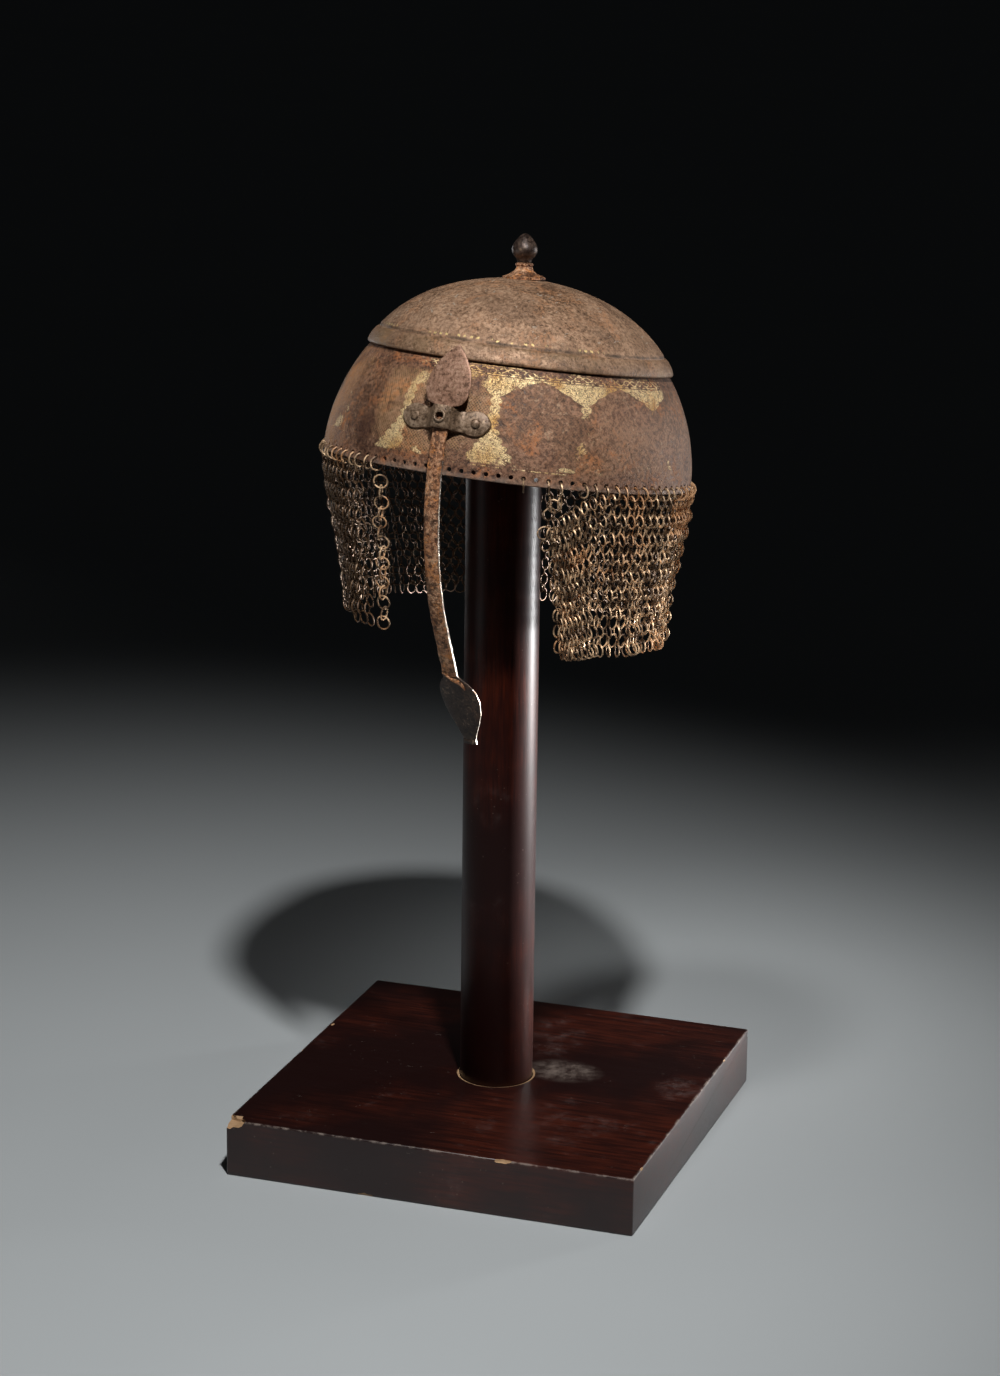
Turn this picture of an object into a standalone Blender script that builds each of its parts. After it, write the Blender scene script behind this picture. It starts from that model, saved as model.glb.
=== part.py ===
"""Kulah khud, an iron helmet with a mail curtain and a sliding nasal, on its plain wooden stand.

Metres, +Z up. The origin is the bottom centre of the stand's base, and the helmet faces -Y.
Run it with blender --background --python part.py, or from the text editor.
"""

from math import acos, asin, cos, pi, radians, sin, sqrt, tan

import bmesh
import bpy
from mathutils import Matrix, Vector

# Clearance between neighbouring pieces
FIT = 0.0003

# Wooden stand: a square base, and a round post let into a blind hole in it
BASE_SIDE = 0.250
BASE_THICKNESS = 0.035
BASE_EDGE = 0.0012
POST_DIAMETER = 0.044
POST_HOLE_DEPTH = 0.022
POST_PLAY = 0.0004
POST_SEAT_PLAY = 0.0007

# How the helmet sits on the post: the middle of its rim above the base, and its lean and turn
RIM_ABOVE_BASE = 0.3763
RIM_SHIFT = 0.0020
LEAN_BACK = radians(9.0)
LEAN_SIDE = radians(3.4)
TURN = radians(-3.6)

# Skull bowl: part of a sphere, open below, with a row of holes for the mail along its edge
BOWL_RADIUS = 0.1068
BOWL_MIDDLE = 0.0006
BOWL_WALL = 0.0018
BOWL_HEIGHT = 0.0700
HOLE_DIAMETER = 0.0026
HOLE_PITCH = 0.0070
HOLE_ABOVE_RIM = 0.0038

# Crown: an elliptic cap whose rolled foot laps over the bowl
CROWN_TOP = 0.1093
CROWN_MIDDLE = 0.0431
CROWN_WALL = 0.0020
CROWN_FOOT = 0.0636
LAP_PLAY = 0.0008
BEAD_HEIGHT = 0.0097
BEAD_BULGE = 0.0022
BEAD_LIP = 0.0006
BEAD_GROOVE = 0.0008
GROOVE_RISE = 0.0016

# Finial: a flared socket and a bud, a little off the crown's middle and bent over
SOCKET_DIAMETER = 0.0250
SOCKET_HEIGHT = 0.0070
NECK_DIAMETER = 0.0090
NECK_HEIGHT = 0.0022
BUD_DIAMETER = 0.0152
BUD_HEIGHT = 0.0168
FINIAL_SHIFT = 0.0034
FINIAL_BEARING = radians(-67.6)
FINIAL_TILT = radians(4.6)

# Nasal bar: forged in one with a leaf at each end, curved over its upper part
BAR_WIDTH = 0.0094
BAR_THICKNESS = 0.0040
BAR_CURVE = 0.1724
BAR_MIDDLE = 0.0075
BAR_STAND_OFF = 0.0054
BAR_TWIST = radians(-5.6)
BAR_CURVE_END = radians(34.0)
BAR_STRAIGHT = 0.0330
UPPER_LEAF_LENGTH = 0.0345
UPPER_LEAF_WIDTH = 0.0268
LOWER_LEAF_LENGTH = 0.0460
LOWER_LEAF_WIDTH = 0.0245
LOWER_LEAF_ASIDE = 0.0042
LEAF_EDGE = 0.0014
LEAF_KEEL = 0.0030
FOOT_LENGTH = 0.0034
FOOT_THICKNESS = 0.0034

# Bracket: a raised staple that the bar slides in, between two ears riveted to the bowl
BRACKET_RISE = 0.0300
STAPLE_HEIGHT = 0.0116
STAPLE_FRONT = 0.0090
STAPLE_WALL = 0.0019
STAPLE_FLARE = 0.0070
SLOT_CHAMFER = 0.0009
SLOT_PLAY = 0.00045
EAR_LENGTH = 0.0147
EAR_HEIGHT = 0.0140
EAR_THICKNESS = 0.0020
SCREW_HOLE = 0.0044
RIVET_SPACING = 0.0364
RIVET_DIAMETER = 0.0054
RIVET_HEAD = 0.0018

# Mail curtain: hangs straight down from the rim, open over the face
MAIL_THICKNESS = 0.0030
MAIL_FRONT_LENGTH = 0.1020
MAIL_BACK_LENGTH = 0.0860
MAIL_OPEN_RIGHT = radians(21.1)
MAIL_OPEN_LEFT = radians(34.0)
MAIL_GAP = 0.0007
MAIL_RIPPLE = 0.0022
MAIL_RIPPLES = 13

# Facets
TURNED_STEPS = 56
POST_STEPS = 40
BOWL_LEVELS = 6
CROWN_LEVELS = 9
SMALL_STEPS = 24
HOLE_SIDES = 8
MAIL_COLUMNS = 60

# Flare of the finial's socket: share of its height, share of the way in from its foot to the neck
FLARE = (
    (0.12, 0.00),
    (0.30, 0.39),
    (0.47, 0.67),
    (0.65, 0.87),
    (0.82, 0.97),
    (1.00, 1.00),
)

# Bud: share of its height, share of its width
BUD = (
    (0.12, 0.63),
    (0.24, 0.87),
    (0.35, 0.97),
    (0.47, 0.98),
    (0.59, 0.89),
    (0.71, 0.72),
    (0.82, 0.49),
    (0.94, 0.21),
)

# Upper leaf: share of its length down from the tip, share of its width
UPPER_LEAF = (
    (0.00, 0.04),
    (0.05, 0.19),
    (0.14, 0.40),
    (0.27, 0.64),
    (0.43, 0.86),
    (0.60, 0.98),
    (0.74, 1.00),
    (0.86, 0.94),
    (0.95, 0.80),
    (1.00, 0.62),
)

# Lower leaf: share of its length down from the bar, share of its width, share of its set aside
LOWER_LEAF = (
    (0.00, 0.44, 0.00),
    (0.05, 0.66, 0.20),
    (0.12, 0.86, 0.42),
    (0.22, 0.97, 0.65),
    (0.36, 1.00, 0.85),
    (0.52, 0.92, 0.96),
    (0.68, 0.75, 1.00),
    (0.83, 0.54, 1.00),
    (1.00, 0.34, 1.00),
)

# Outline of a bracket ear: share of its length from the staple, share of its height
EAR = (
    (0.00, 0.84),
    (0.22, 0.95),
    (0.45, 1.00),
    (0.66, 0.92),
    (0.84, 0.66),
    (0.95, 0.36),
    (1.00, 0.08),
)

# Rows of the mail: share of its length, share of the rim's radius, share of its span round the head
MAIL_ROWS = (
    (0.00, 1.000, 1.000),
    (0.14, 0.992, 0.996),
    (0.30, 0.968, 0.988),
    (0.48, 0.932, 0.977),
    (0.66, 0.898, 0.966),
    (0.84, 0.876, 0.957),
    (1.00, 0.866, 0.952),
)


def bowl_radius_at(rise):
    """Outer radius of the bowl at a height above the rim."""
    return sqrt(BOWL_RADIUS**2 - (rise - BOWL_MIDDLE) ** 2)


def crown_axes(foot_radius, top):
    """Half width and half height of the ellipse through the crown's foot and its top."""
    half_height = top - CROWN_MIDDLE
    share = (CROWN_FOOT - CROWN_MIDDLE) / half_height
    return foot_radius / sqrt(1 - share**2), half_height


# Crown's foot and the two ellipses of its wall
FOOT_INNER = bowl_radius_at(CROWN_FOOT) + LAP_PLAY
CROWN_OUTER = crown_axes(FOOT_INNER + CROWN_WALL, CROWN_TOP)
CROWN_INNER = crown_axes(FOOT_INNER, CROWN_TOP - CROWN_WALL)

# Where the bar passes through the bracket, and the centre that it slides round
BAR_DISTANCE = bowl_radius_at(BRACKET_RISE) + BAR_STAND_OFF
BAR_ANGLE = asin((BRACKET_RISE - BAR_MIDDLE) / BAR_CURVE)
BAR_CENTRE = BAR_CURVE * cos(BAR_ANGLE)
BRACKET_SLOPE = asin((BRACKET_RISE - BOWL_MIDDLE) / BOWL_RADIUS)
STAPLE_SLOPE = BRACKET_SLOPE + STAPLE_HEIGHT / 2 / BOWL_RADIUS
LEAF_REACH = BAR_STAND_OFF + LEAF_KEEL / 2 + BAR_WIDTH / 2 * sin(abs(BAR_TWIST))
STAPLE_TOP = BOWL_MIDDLE + (BOWL_RADIUS + LEAF_REACH) * sin(STAPLE_SLOPE)
LEAF_ANGLE = asin((STAPLE_TOP + 2 * FIT - BAR_MIDDLE) / BAR_CURVE)

# The helmet's own frame: the origin in the middle of the rim, and -Y to the face
HELMET = (
    Matrix.Translation((RIM_SHIFT, 0, BASE_THICKNESS + RIM_ABOVE_BASE))
    @ Matrix.Rotation(LEAN_SIDE, 4, "Y")
    @ Matrix.Rotation(-LEAN_BACK, 4, "X")
    @ Matrix.Rotation(TURN, 4, "Z")
)


def clear_scene():
    for obj in list(bpy.data.objects):
        bpy.data.objects.remove(obj)


def material(name, colour, roughness, metallic):
    made = bpy.data.materials.new(name)
    made.use_nodes = True
    shader = made.node_tree.nodes["Principled BSDF"]
    shader.inputs["Base Color"].default_value = (*colour, 1)
    shader.inputs["Roughness"].default_value = roughness
    shader.inputs["Metallic"].default_value = metallic
    return made


def place(bm, name, finish, parent=None, matrix=None):
    """Make one object of a bmesh, shaded smooth with sharp edges kept, in its parent's frame."""
    bmesh.ops.remove_doubles(bm, verts=bm.verts, dist=1e-6)
    bmesh.ops.recalc_face_normals(bm, faces=bm.faces)
    mesh = bpy.data.meshes.new(name)
    bm.to_mesh(mesh)
    bm.free()
    mesh.shade_smooth()
    mesh.set_sharp_from_angle(angle=radians(35))
    mesh.materials.append(finish)
    obj = bpy.data.objects.new(name, mesh)
    bpy.context.scene.collection.objects.link(obj)
    obj.parent = parent
    obj.matrix_local = matrix or Matrix.Identity(4)
    return obj


def frame(name, parent=None, matrix=None):
    empty = bpy.data.objects.new(name, None)
    bpy.context.scene.collection.objects.link(empty)
    empty.empty_display_size = 0.02
    empty.parent = parent
    empty.matrix_local = matrix or Matrix.Identity(4)
    return empty


def cut(obj, cutter):
    """Take a cutter out of an object, and leave the cutter as a hidden guide."""
    cutter.hide_render = True
    cutter.display_type = "WIRE"
    boolean = obj.modifiers.new("cut by " + cutter.name, "BOOLEAN")
    boolean.operation = "DIFFERENCE"
    boolean.object = cutter


def turned(profile, steps):
    """Spin a profile of (radius, height) points about Z. A closed profile repeats its first point."""
    bm = bmesh.new()
    closed = profile[0] == profile[-1]
    verts = [bm.verts.new((r, 0, z)) for r, z in (profile[:-1] if closed else profile)]
    ends = verts + verts[:1] if closed else verts
    edges = [bm.edges.new(pair) for pair in zip(ends, ends[1:])]
    bmesh.ops.spin(
        bm,
        geom=verts + edges,
        axis=(0, 0, 1),
        cent=(0, 0, 0),
        angle=2 * pi,
        steps=steps,
        use_merge=True,
    )
    return bm


def rod(bm, radius, start, end, sides):
    """Add a closed prism with the given number of sides between two points."""
    start, end = Vector(start), Vector(end)
    along = end - start
    turn = along.to_track_quat("Z", "Y").to_matrix().to_4x4()
    bmesh.ops.create_cone(
        bm,
        cap_ends=True,
        segments=sides,
        radius1=radius,
        radius2=radius,
        depth=along.length,
        matrix=Matrix.Translation((start + end) / 2) @ turn,
    )


def skin(sections):
    """Join closed rings of points, in order, into one closed body with a face over each end."""
    bm = bmesh.new()
    rings = [[bm.verts.new(point) for point in section] for section in sections]
    for ring, following in zip(rings, rings[1:]):
        for i in range(len(ring)):
            j = (i + 1) % len(ring)
            bm.faces.new((ring[i], ring[j], following[j], following[i]))
    bm.faces.new(rings[0])
    bm.faces.new(rings[-1])
    return bm


def spread(start, end, count):
    return [start + (end - start) * i / (count - 1) for i in range(count)]


def stand_base(finish):
    bm = bmesh.new()
    size = (BASE_SIDE, BASE_SIDE, BASE_THICKNESS)
    bmesh.ops.create_cube(bm, size=1)
    bmesh.ops.scale(bm, vec=size, verts=bm.verts)
    bmesh.ops.translate(bm, vec=(0, 0, BASE_THICKNESS / 2), verts=bm.verts)
    bmesh.ops.bevel(
        bm,
        geom=bm.edges[:],
        offset=BASE_EDGE,
        segments=2,
        profile=0.5,
        affect="EDGES",
        material=-1,
    )
    base = place(bm, "stand_base", finish)
    hole = bmesh.new()
    floor = BASE_THICKNESS - POST_HOLE_DEPTH
    above = 2 * BASE_THICKNESS
    rod(hole, POST_DIAMETER / 2 + POST_PLAY, (0, 0, floor), (0, 0, above), POST_STEPS)
    cut(base, place(hole, "post_hole", finish))


def under_crown(x, y):
    """Height of the crown's inside, less the play of its seat, above a point of the floor."""
    half_width, half_height = (axis - POST_SEAT_PLAY for axis in CROWN_INNER)
    inverse = HELMET.inverted()
    start = inverse @ Vector((x, y, 0)) - Vector((0, 0, CROWN_MIDDLE))
    step = inverse.to_3x3() @ Vector((0, 0, 1))
    scale = Vector((1 / half_width, 1 / half_width, 1 / half_height))
    start, step = start * scale, step * scale
    a, b, c = step.dot(step), start.dot(step), start.dot(start) - 1
    return (-b + sqrt(b * b - a * c)) / a


def stand_post(finish):
    """A round post whose hidden top is shaped to the inside of the crown."""
    bottom = BASE_THICKNESS - POST_HOLE_DEPTH + FIT
    radius = POST_DIAMETER / 2
    top = BASE_THICKNESS + RIM_ABOVE_BASE + CROWN_TOP
    profile = [(0, bottom), (radius, bottom), (radius, top), (radius / 2, top), (0, top)]
    bm = turned(profile, POST_STEPS)
    for vert in bm.verts:
        if vert.co.z > bottom + FIT:
            vert.co.z = under_crown(vert.co.x, vert.co.y)
    place(bm, "stand_post", finish)


def skull_bowl(helmet, finish):
    inner = BOWL_RADIUS - BOWL_WALL
    outer_edge = [(bowl_radius_at(h), h) for h in spread(0, BOWL_HEIGHT, BOWL_LEVELS)]
    inner_edge = [
        (sqrt(inner**2 - (h - BOWL_MIDDLE) ** 2), h)
        for h in spread(BOWL_HEIGHT, 0, BOWL_LEVELS)
    ]
    profile = outer_edge + inner_edge + outer_edge[:1]
    bowl = place(turned(profile[::-1], TURNED_STEPS), "skull_bowl", finish, helmet)
    holes = bmesh.new()
    count = round(2 * pi * BOWL_RADIUS / HOLE_PITCH)
    reach = Vector((0, -BOWL_RADIUS - BOWL_WALL, HOLE_ABOVE_RIM))
    depth = Vector((0, -inner + BOWL_WALL, HOLE_ABOVE_RIM))
    for i in range(count):
        turn = Matrix.Rotation(2 * pi * i / count, 3, "Z")
        rod(holes, HOLE_DIAMETER / 2, turn @ depth, turn @ reach, HOLE_SIDES)
    cut(bowl, place(holes, "mail_holes", finish, helmet))


def ellipse_points(axes, start, end, count):
    """(radius, height) points on one of the crown's ellipses, between two heights."""
    half_width, half_height = axes
    angles = [acos((h - CROWN_MIDDLE) / half_height) for h in (start, end)]
    return [
        (half_width * sin(a), CROWN_MIDDLE + half_height * cos(a))
        for a in spread(*angles, count)
    ]


def bead_points():
    """The rolled foot, as half an ellipse from the lip up to the groove above it."""
    bead_top = CROWN_FOOT + BEAD_HEIGHT
    low = FOOT_INNER + BEAD_LIP
    high = ellipse_points(CROWN_OUTER, bead_top, CROWN_TOP, 2)[0][0] - BEAD_GROOVE
    points = []
    for angle in spread(0, pi, 7):
        up = (1 - cos(angle)) / 2
        radius = low + (high - low) * up + BEAD_BULGE * sin(angle)
        points.append((radius, CROWN_FOOT + BEAD_HEIGHT * up))
    return points


def crown_cap(helmet, finish):
    inside = ellipse_points(CROWN_INNER, CROWN_TOP - CROWN_WALL, CROWN_FOOT, CROWN_LEVELS)
    cap_foot = CROWN_FOOT + BEAD_HEIGHT + GROOVE_RISE
    outside = ellipse_points(CROWN_OUTER, cap_foot, CROWN_TOP, CROWN_LEVELS)
    profile = inside + bead_points() + outside
    profile[0], profile[-1] = (0, profile[0][1]), (0, profile[-1][1])
    place(turned(profile, TURNED_STEPS), "crown_cap", finish, helmet)


def finial_frame(helmet):
    """Where the finial stands on the crown, bent the same way as it is shifted."""
    way = Vector((sin(FINIAL_BEARING), -cos(FINIAL_BEARING), 0))
    half_width, half_height = CROWN_OUTER
    rise = CROWN_MIDDLE + half_height * sqrt(1 - (FINIAL_SHIFT / half_width) ** 2)
    axis = Vector((0, 0, 1)).cross(way)
    spot = Matrix.Translation(way * FINIAL_SHIFT + Vector((0, 0, rise)))
    return frame("finial", helmet, spot @ Matrix.Rotation(FINIAL_TILT, 4, axis))


def finial(helmet, rusty, dark):
    at = finial_frame(helmet)
    foot, neck = SOCKET_DIAMETER / 2, NECK_DIAMETER / 2
    below = -SOCKET_HEIGHT / 4
    flare = [(foot + (neck - foot) * inward, SOCKET_HEIGHT * up) for up, inward in FLARE]
    top = SOCKET_HEIGHT + NECK_HEIGHT
    ring = [(neck + NECK_HEIGHT / 4, top - NECK_HEIGHT / 2), (neck, top), (0, top)]
    profile = [(0, below), (foot, below), *flare, *ring]
    socket = place(turned(profile, SMALL_STEPS), "finial_socket", rusty, at)
    seat = bmesh.new()
    bmesh.ops.create_uvsphere(seat, u_segments=48, v_segments=48, radius=1)
    half_width, half_height = (axis + FIT for axis in CROWN_OUTER)
    bmesh.ops.scale(seat, vec=(half_width, half_width, half_height), verts=seat.verts)
    middle = Matrix.Translation((0, 0, CROWN_MIDDLE))
    cut(socket, place(seat, "socket_seat", rusty, helmet, middle))

    start = top + FIT
    swell = [(BUD_DIAMETER / 2 * wide, start + BUD_HEIGHT * up) for up, wide in BUD]
    bud = [(0, start), (neck - FIT, start), *swell, (0, start + BUD_HEIGHT)]
    place(turned(bud, SMALL_STEPS), "finial_bud", dark, at)


def bar_point(length):
    """Point and outward direction of the bar's middle line, by length down from the upper tip.

    The frame is the bar's own: the origin is the centre that it slides round, and -Y is outward.
    """
    angle = LEAF_ANGLE + (UPPER_LEAF_LENGTH - length) / BAR_CURVE
    past = max(0, -BAR_CURVE_END - angle) * BAR_CURVE
    angle = max(angle, -BAR_CURVE_END)
    outward = Vector((0, -cos(angle), sin(angle)))
    down = Vector((0, outward.z, -outward.y)) * -1
    return outward * BAR_CURVE + down * past, outward


def leaf_keel(wide):
    return LEAF_EDGE + (LEAF_KEEL - LEAF_EDGE) * wide


def bar_sections():
    """Rows of length down the bar, distance aside, width, and thickness at the edge and middle."""
    bar_start = UPPER_LEAF_LENGTH
    bar = BAR_CURVE * (LEAF_ANGLE + BAR_CURVE_END) + BAR_STRAIGHT
    leaf_start = bar_start + bar
    leaf_end = leaf_start + LOWER_LEAF_LENGTH
    rows = []
    for along, wide in UPPER_LEAF:
        width = wide * UPPER_LEAF_WIDTH
        rows.append((along * UPPER_LEAF_LENGTH, 0, width, LEAF_EDGE, leaf_keel(wide)))
    for share in spread(0, 1, 15):
        length = bar_start + share * bar
        rows.append((length, 0, BAR_WIDTH, BAR_THICKNESS / 2, BAR_THICKNESS))
    for along, wide, aside in LOWER_LEAF[1:]:
        length = leaf_start + along * LOWER_LEAF_LENGTH
        width = wide * LOWER_LEAF_WIDTH
        rows.append((length, aside * LOWER_LEAF_ASIDE, width, LEAF_EDGE, leaf_keel(wide)))
    foot_width = LOWER_LEAF[-1][1] * LOWER_LEAF_WIDTH
    for share, thick in ((0.25, 1), (0.75, 1), (1, 0.5)):
        depth = FOOT_THICKNESS * thick
        length = leaf_end + share * FOOT_LENGTH
        rows.append((length, LOWER_LEAF_ASIDE, foot_width, depth / 2, depth))
    return rows


def nasal_bar(helmet, finish):
    """The bar and its two leaves, as flat eight-cornered sections along the bar's line."""
    spot = Matrix.Translation((0, -BAR_DISTANCE, 0)) @ Matrix.Rotation(BAR_TWIST, 4, "Z")
    pivot = frame("nasal_axis", helmet, spot @ Matrix.Translation((0, BAR_CENTRE, BAR_MIDDLE)))
    sections = []
    for length, aside, width, edge, middle in bar_sections():
        point, outward = bar_point(length)
        corners = (
            (-width / 2, edge / 2),
            (-width / 4, middle / 2),
            (width / 4, middle / 2),
            (width / 2, edge / 2),
            (width / 2, -edge / 2),
            (width / 4, -middle / 2),
            (-width / 4, -middle / 2),
            (-width / 2, -edge / 2),
        )
        sections.append([point + Vector((aside + x, 0, 0)) + outward * y for x, y in corners])
    place(skin(sections), "nasal_bar", finish, pivot)


def bowl_surface(across, up, off):
    """Point near the bracket: across the face, up the bowl's curve, and off its surface."""
    latitude = BRACKET_SLOPE + up / BOWL_RADIUS
    radius = BOWL_RADIUS + off
    out = radius * cos(latitude)
    return Vector((across, -sqrt(out**2 - across**2), BOWL_MIDDLE + radius * sin(latitude)))


def slot_size():
    """Half width of the slot and how far its front stands off, round the twisted bar."""
    turn = abs(BAR_TWIST)
    half = (BAR_WIDTH * cos(turn) + BAR_THICKNESS * sin(turn)) / 2 + SLOT_PLAY
    deep = (BAR_THICKNESS * cos(turn) + BAR_WIDTH * sin(turn)) / 2 + SLOT_PLAY
    return half, BAR_STAND_OFF + deep


def bracket_rows():
    """Half of the bracket: distance across, height, and stand-off of its back and its front."""
    slot, slot_front = slot_size()
    front = slot_front + STAPLE_WALL
    flat = STAPLE_FRONT / 2

    def cove(across):
        share = max(0, (across - flat) / STAPLE_FLARE)
        return EAR_THICKNESS + (front - EAR_THICKNESS) * (1 - min(1, share)) ** 2

    rows = [
        (slot - 2 * SLOT_CHAMFER, STAPLE_HEIGHT, slot_front, front),
        (slot, STAPLE_HEIGHT, slot_front - SLOT_CHAMFER, cove(slot)),
        (slot, STAPLE_HEIGHT, FIT, cove(slot)),
    ]
    for share in (0.32, 0.55, 0.78):
        across = flat + share * STAPLE_FLARE
        rows.append((across, STAPLE_HEIGHT, FIT, cove(across)))
    for along, tall in EAR:
        across = flat + STAPLE_FLARE + along * EAR_LENGTH
        rows.append((across, tall * EAR_HEIGHT, FIT, EAR_THICKNESS))
    return rows


def nasal_bracket(helmet, finish):
    lean = tan(BRACKET_SLOPE - BAR_ANGLE) / slot_size()[1]
    rows = bracket_rows()
    both = [(-across, *rest) for across, *rest in reversed(rows)] + rows
    sections = []
    for across, height, back, front in both:
        low, high = -height / 2, height / 2
        corners = ((low, back), (high, back), (high, front), (low, front))
        sections.append([bowl_surface(across, up, off * (1 + up * lean)) for up, off in corners])
    bracket = place(skin(sections), "nasal_bracket", finish, helmet)
    hole = bmesh.new()
    deep = bowl_surface(0, 0, BAR_STAND_OFF)
    clear = bowl_surface(0, 0, slot_size()[1] + 3 * STAPLE_WALL)
    rod(hole, SCREW_HOLE / 2, deep, clear, 12)
    cut(bracket, place(hole, "screw_hole", finish, helmet))


def rivets(helmet, finish):
    """Two dome-headed rivets on the bracket's ears."""
    radius = RIVET_DIAMETER / 2
    head = [(0, 0)] + [(radius * cos(a), RIVET_HEAD * sin(a)) for a in spread(0, pi / 2, 4)]
    head[-1] = (0, RIVET_HEAD)
    for name, side in (("rivet_right", -1), ("rivet_left", 1)):
        across = side * RIVET_SPACING / 2
        spot = bowl_surface(across, 0, EAR_THICKNESS + FIT * 2)
        away = bowl_surface(across, 0, EAR_THICKNESS) - Vector((0, 0, BOWL_MIDDLE))
        turn = away.to_track_quat("Z", "Y").to_matrix().to_4x4()
        place(turned(head, 12), name, finish, helmet, Matrix.Translation(spot) @ turn)


def mail_point(bearing_share, row):
    """Point of the mail's middle surface, hung straight down from the rim of the leaning bowl."""
    along, radius_share, span_share = row
    span = 2 * pi - MAIL_OPEN_LEFT - MAIL_OPEN_RIGHT
    middle = MAIL_OPEN_LEFT + span / 2
    bearing = middle + span * (bearing_share - 0.5)
    top_radius = BOWL_RADIUS - BOWL_WALL / 2
    top = HELMET @ Vector((top_radius * sin(bearing), -top_radius * cos(bearing), -MAIL_GAP))
    swung = middle + span * (bearing_share - 0.5) * span_share
    ripple = 1 + MAIL_RIPPLE / BOWL_RADIUS * along * sin(MAIL_RIPPLES * 2 * pi * bearing_share)
    out = top_radius * radius_share * ripple
    spot = HELMET @ Vector((out * sin(swung), -out * cos(swung), 0))
    back = (1 - cos(bearing)) / 2
    length = MAIL_FRONT_LENGTH + (MAIL_BACK_LENGTH - MAIL_FRONT_LENGTH) * back**1.2
    drop = length * along
    return Vector((spot.x, spot.y, top.z - drop))


def mail_curtain(finish):
    """The mail as one woven wall, with the ripples that it hangs in."""
    bm = bmesh.new()
    grid = [
        [bm.verts.new(mail_point(i / MAIL_COLUMNS, row)) for i in range(MAIL_COLUMNS + 1)]
        for row in MAIL_ROWS
    ]
    for upper, lower in zip(grid, grid[1:]):
        for i in range(MAIL_COLUMNS):
            bm.faces.new((upper[i], upper[i + 1], lower[i + 1], lower[i]))
    curtain = place(bm, "mail_curtain", finish)
    wall = curtain.modifiers.new("mail thickness", "SOLIDIFY")
    wall.thickness = MAIL_THICKNESS
    wall.offset = 0


def build():
    clear_scene()
    wood = material("lacquered_wood", (0.070, 0.016, 0.010), 0.22, 0)
    iron = material("patinated_iron", (0.150, 0.085, 0.055), 0.52, 0.75)
    rusty = material("rusty_iron", (0.200, 0.095, 0.045), 0.68, 0.55)
    dark = material("dark_iron", (0.035, 0.034, 0.033), 0.35, 0.90)
    wire = material("mail_wire", (0.280, 0.200, 0.135), 0.42, 0.90)
    stand_base(wood)
    stand_post(wood)
    helmet = frame("helmet", None, HELMET)
    skull_bowl(helmet, iron)
    crown_cap(helmet, iron)
    finial(helmet, rusty, dark)
    nasal_bracket(helmet, iron)
    rivets(helmet, iron)
    nasal_bar(helmet, rusty)
    mail_curtain(wire)


build()
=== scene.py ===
"""Kulah khud on its wooden stand: every piece with its finish, around the fixed frame.

Metres, +Z up. The helmet faces -Y and leans back on its post. What belongs to the helmet is shaped
in the helmet's own frame, with its origin in the middle of the rim, and then set in place.
"""

import random
from functools import reduce
from math import acos, asin, cos, pi, radians, sin, sqrt, tan

import bmesh
import bpy
from bpy.props import FloatProperty, FloatVectorProperty, IntProperty, PointerProperty
from mathutils import Matrix, Vector, noise


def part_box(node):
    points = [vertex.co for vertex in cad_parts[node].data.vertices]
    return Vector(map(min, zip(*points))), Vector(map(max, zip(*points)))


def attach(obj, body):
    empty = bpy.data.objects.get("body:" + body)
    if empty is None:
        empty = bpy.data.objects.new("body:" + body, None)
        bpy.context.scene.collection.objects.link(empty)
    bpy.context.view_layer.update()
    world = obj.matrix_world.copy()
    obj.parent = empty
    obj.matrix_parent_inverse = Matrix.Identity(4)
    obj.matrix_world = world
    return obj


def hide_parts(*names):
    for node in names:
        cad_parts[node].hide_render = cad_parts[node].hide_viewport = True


bl_info = {
    "name": "Kulah Khud",
    "version": (1, 0, 0),
    "blender": (4, 5, 0),
    "location": "View3D > Sidebar > Kulah Khud",
    "description": "Makes an iron helmet with a mail curtain and a sliding nasal, on its stand",
    "category": "Object",
}

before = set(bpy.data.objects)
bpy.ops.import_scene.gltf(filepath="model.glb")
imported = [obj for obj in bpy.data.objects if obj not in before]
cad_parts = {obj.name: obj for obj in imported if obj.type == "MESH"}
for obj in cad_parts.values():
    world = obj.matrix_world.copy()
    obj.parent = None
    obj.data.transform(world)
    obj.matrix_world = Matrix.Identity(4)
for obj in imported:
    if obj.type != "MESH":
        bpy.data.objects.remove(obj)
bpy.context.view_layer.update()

# The bodies of the frame
HELMET_BODY = "helmet_and_stand"
NASAL_BODY = "nasal"

# Shares of a nasal leaf: along its length, of its width, and of the lower leaf's set aside
UPPER_LEAF = (
    (0.00, 0.04),
    (0.05, 0.19),
    (0.14, 0.40),
    (0.27, 0.64),
    (0.43, 0.86),
    (0.60, 0.98),
    (0.74, 1.00),
    (0.86, 0.94),
    (0.95, 0.80),
    (1.00, 0.62),
)
LOWER_LEAF = (
    (0.00, 0.38, 0.05),
    (0.05, 0.53, 0.30),
    (0.12, 0.76, 0.50),
    (0.22, 0.95, 0.66),
    (0.36, 1.00, 0.85),
    (0.52, 0.92, 0.96),
    (0.68, 0.75, 1.00),
    (0.83, 0.54, 1.00),
    (1.00, 0.34, 1.00),
)

# Shares of a bracket ear: along its length, of its height
EAR = (
    (0.00, 0.84),
    (0.22, 0.95),
    (0.45, 1.00),
    (0.66, 0.92),
    (0.84, 0.66),
    (0.95, 0.36),
    (1.00, 0.08),
)

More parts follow.
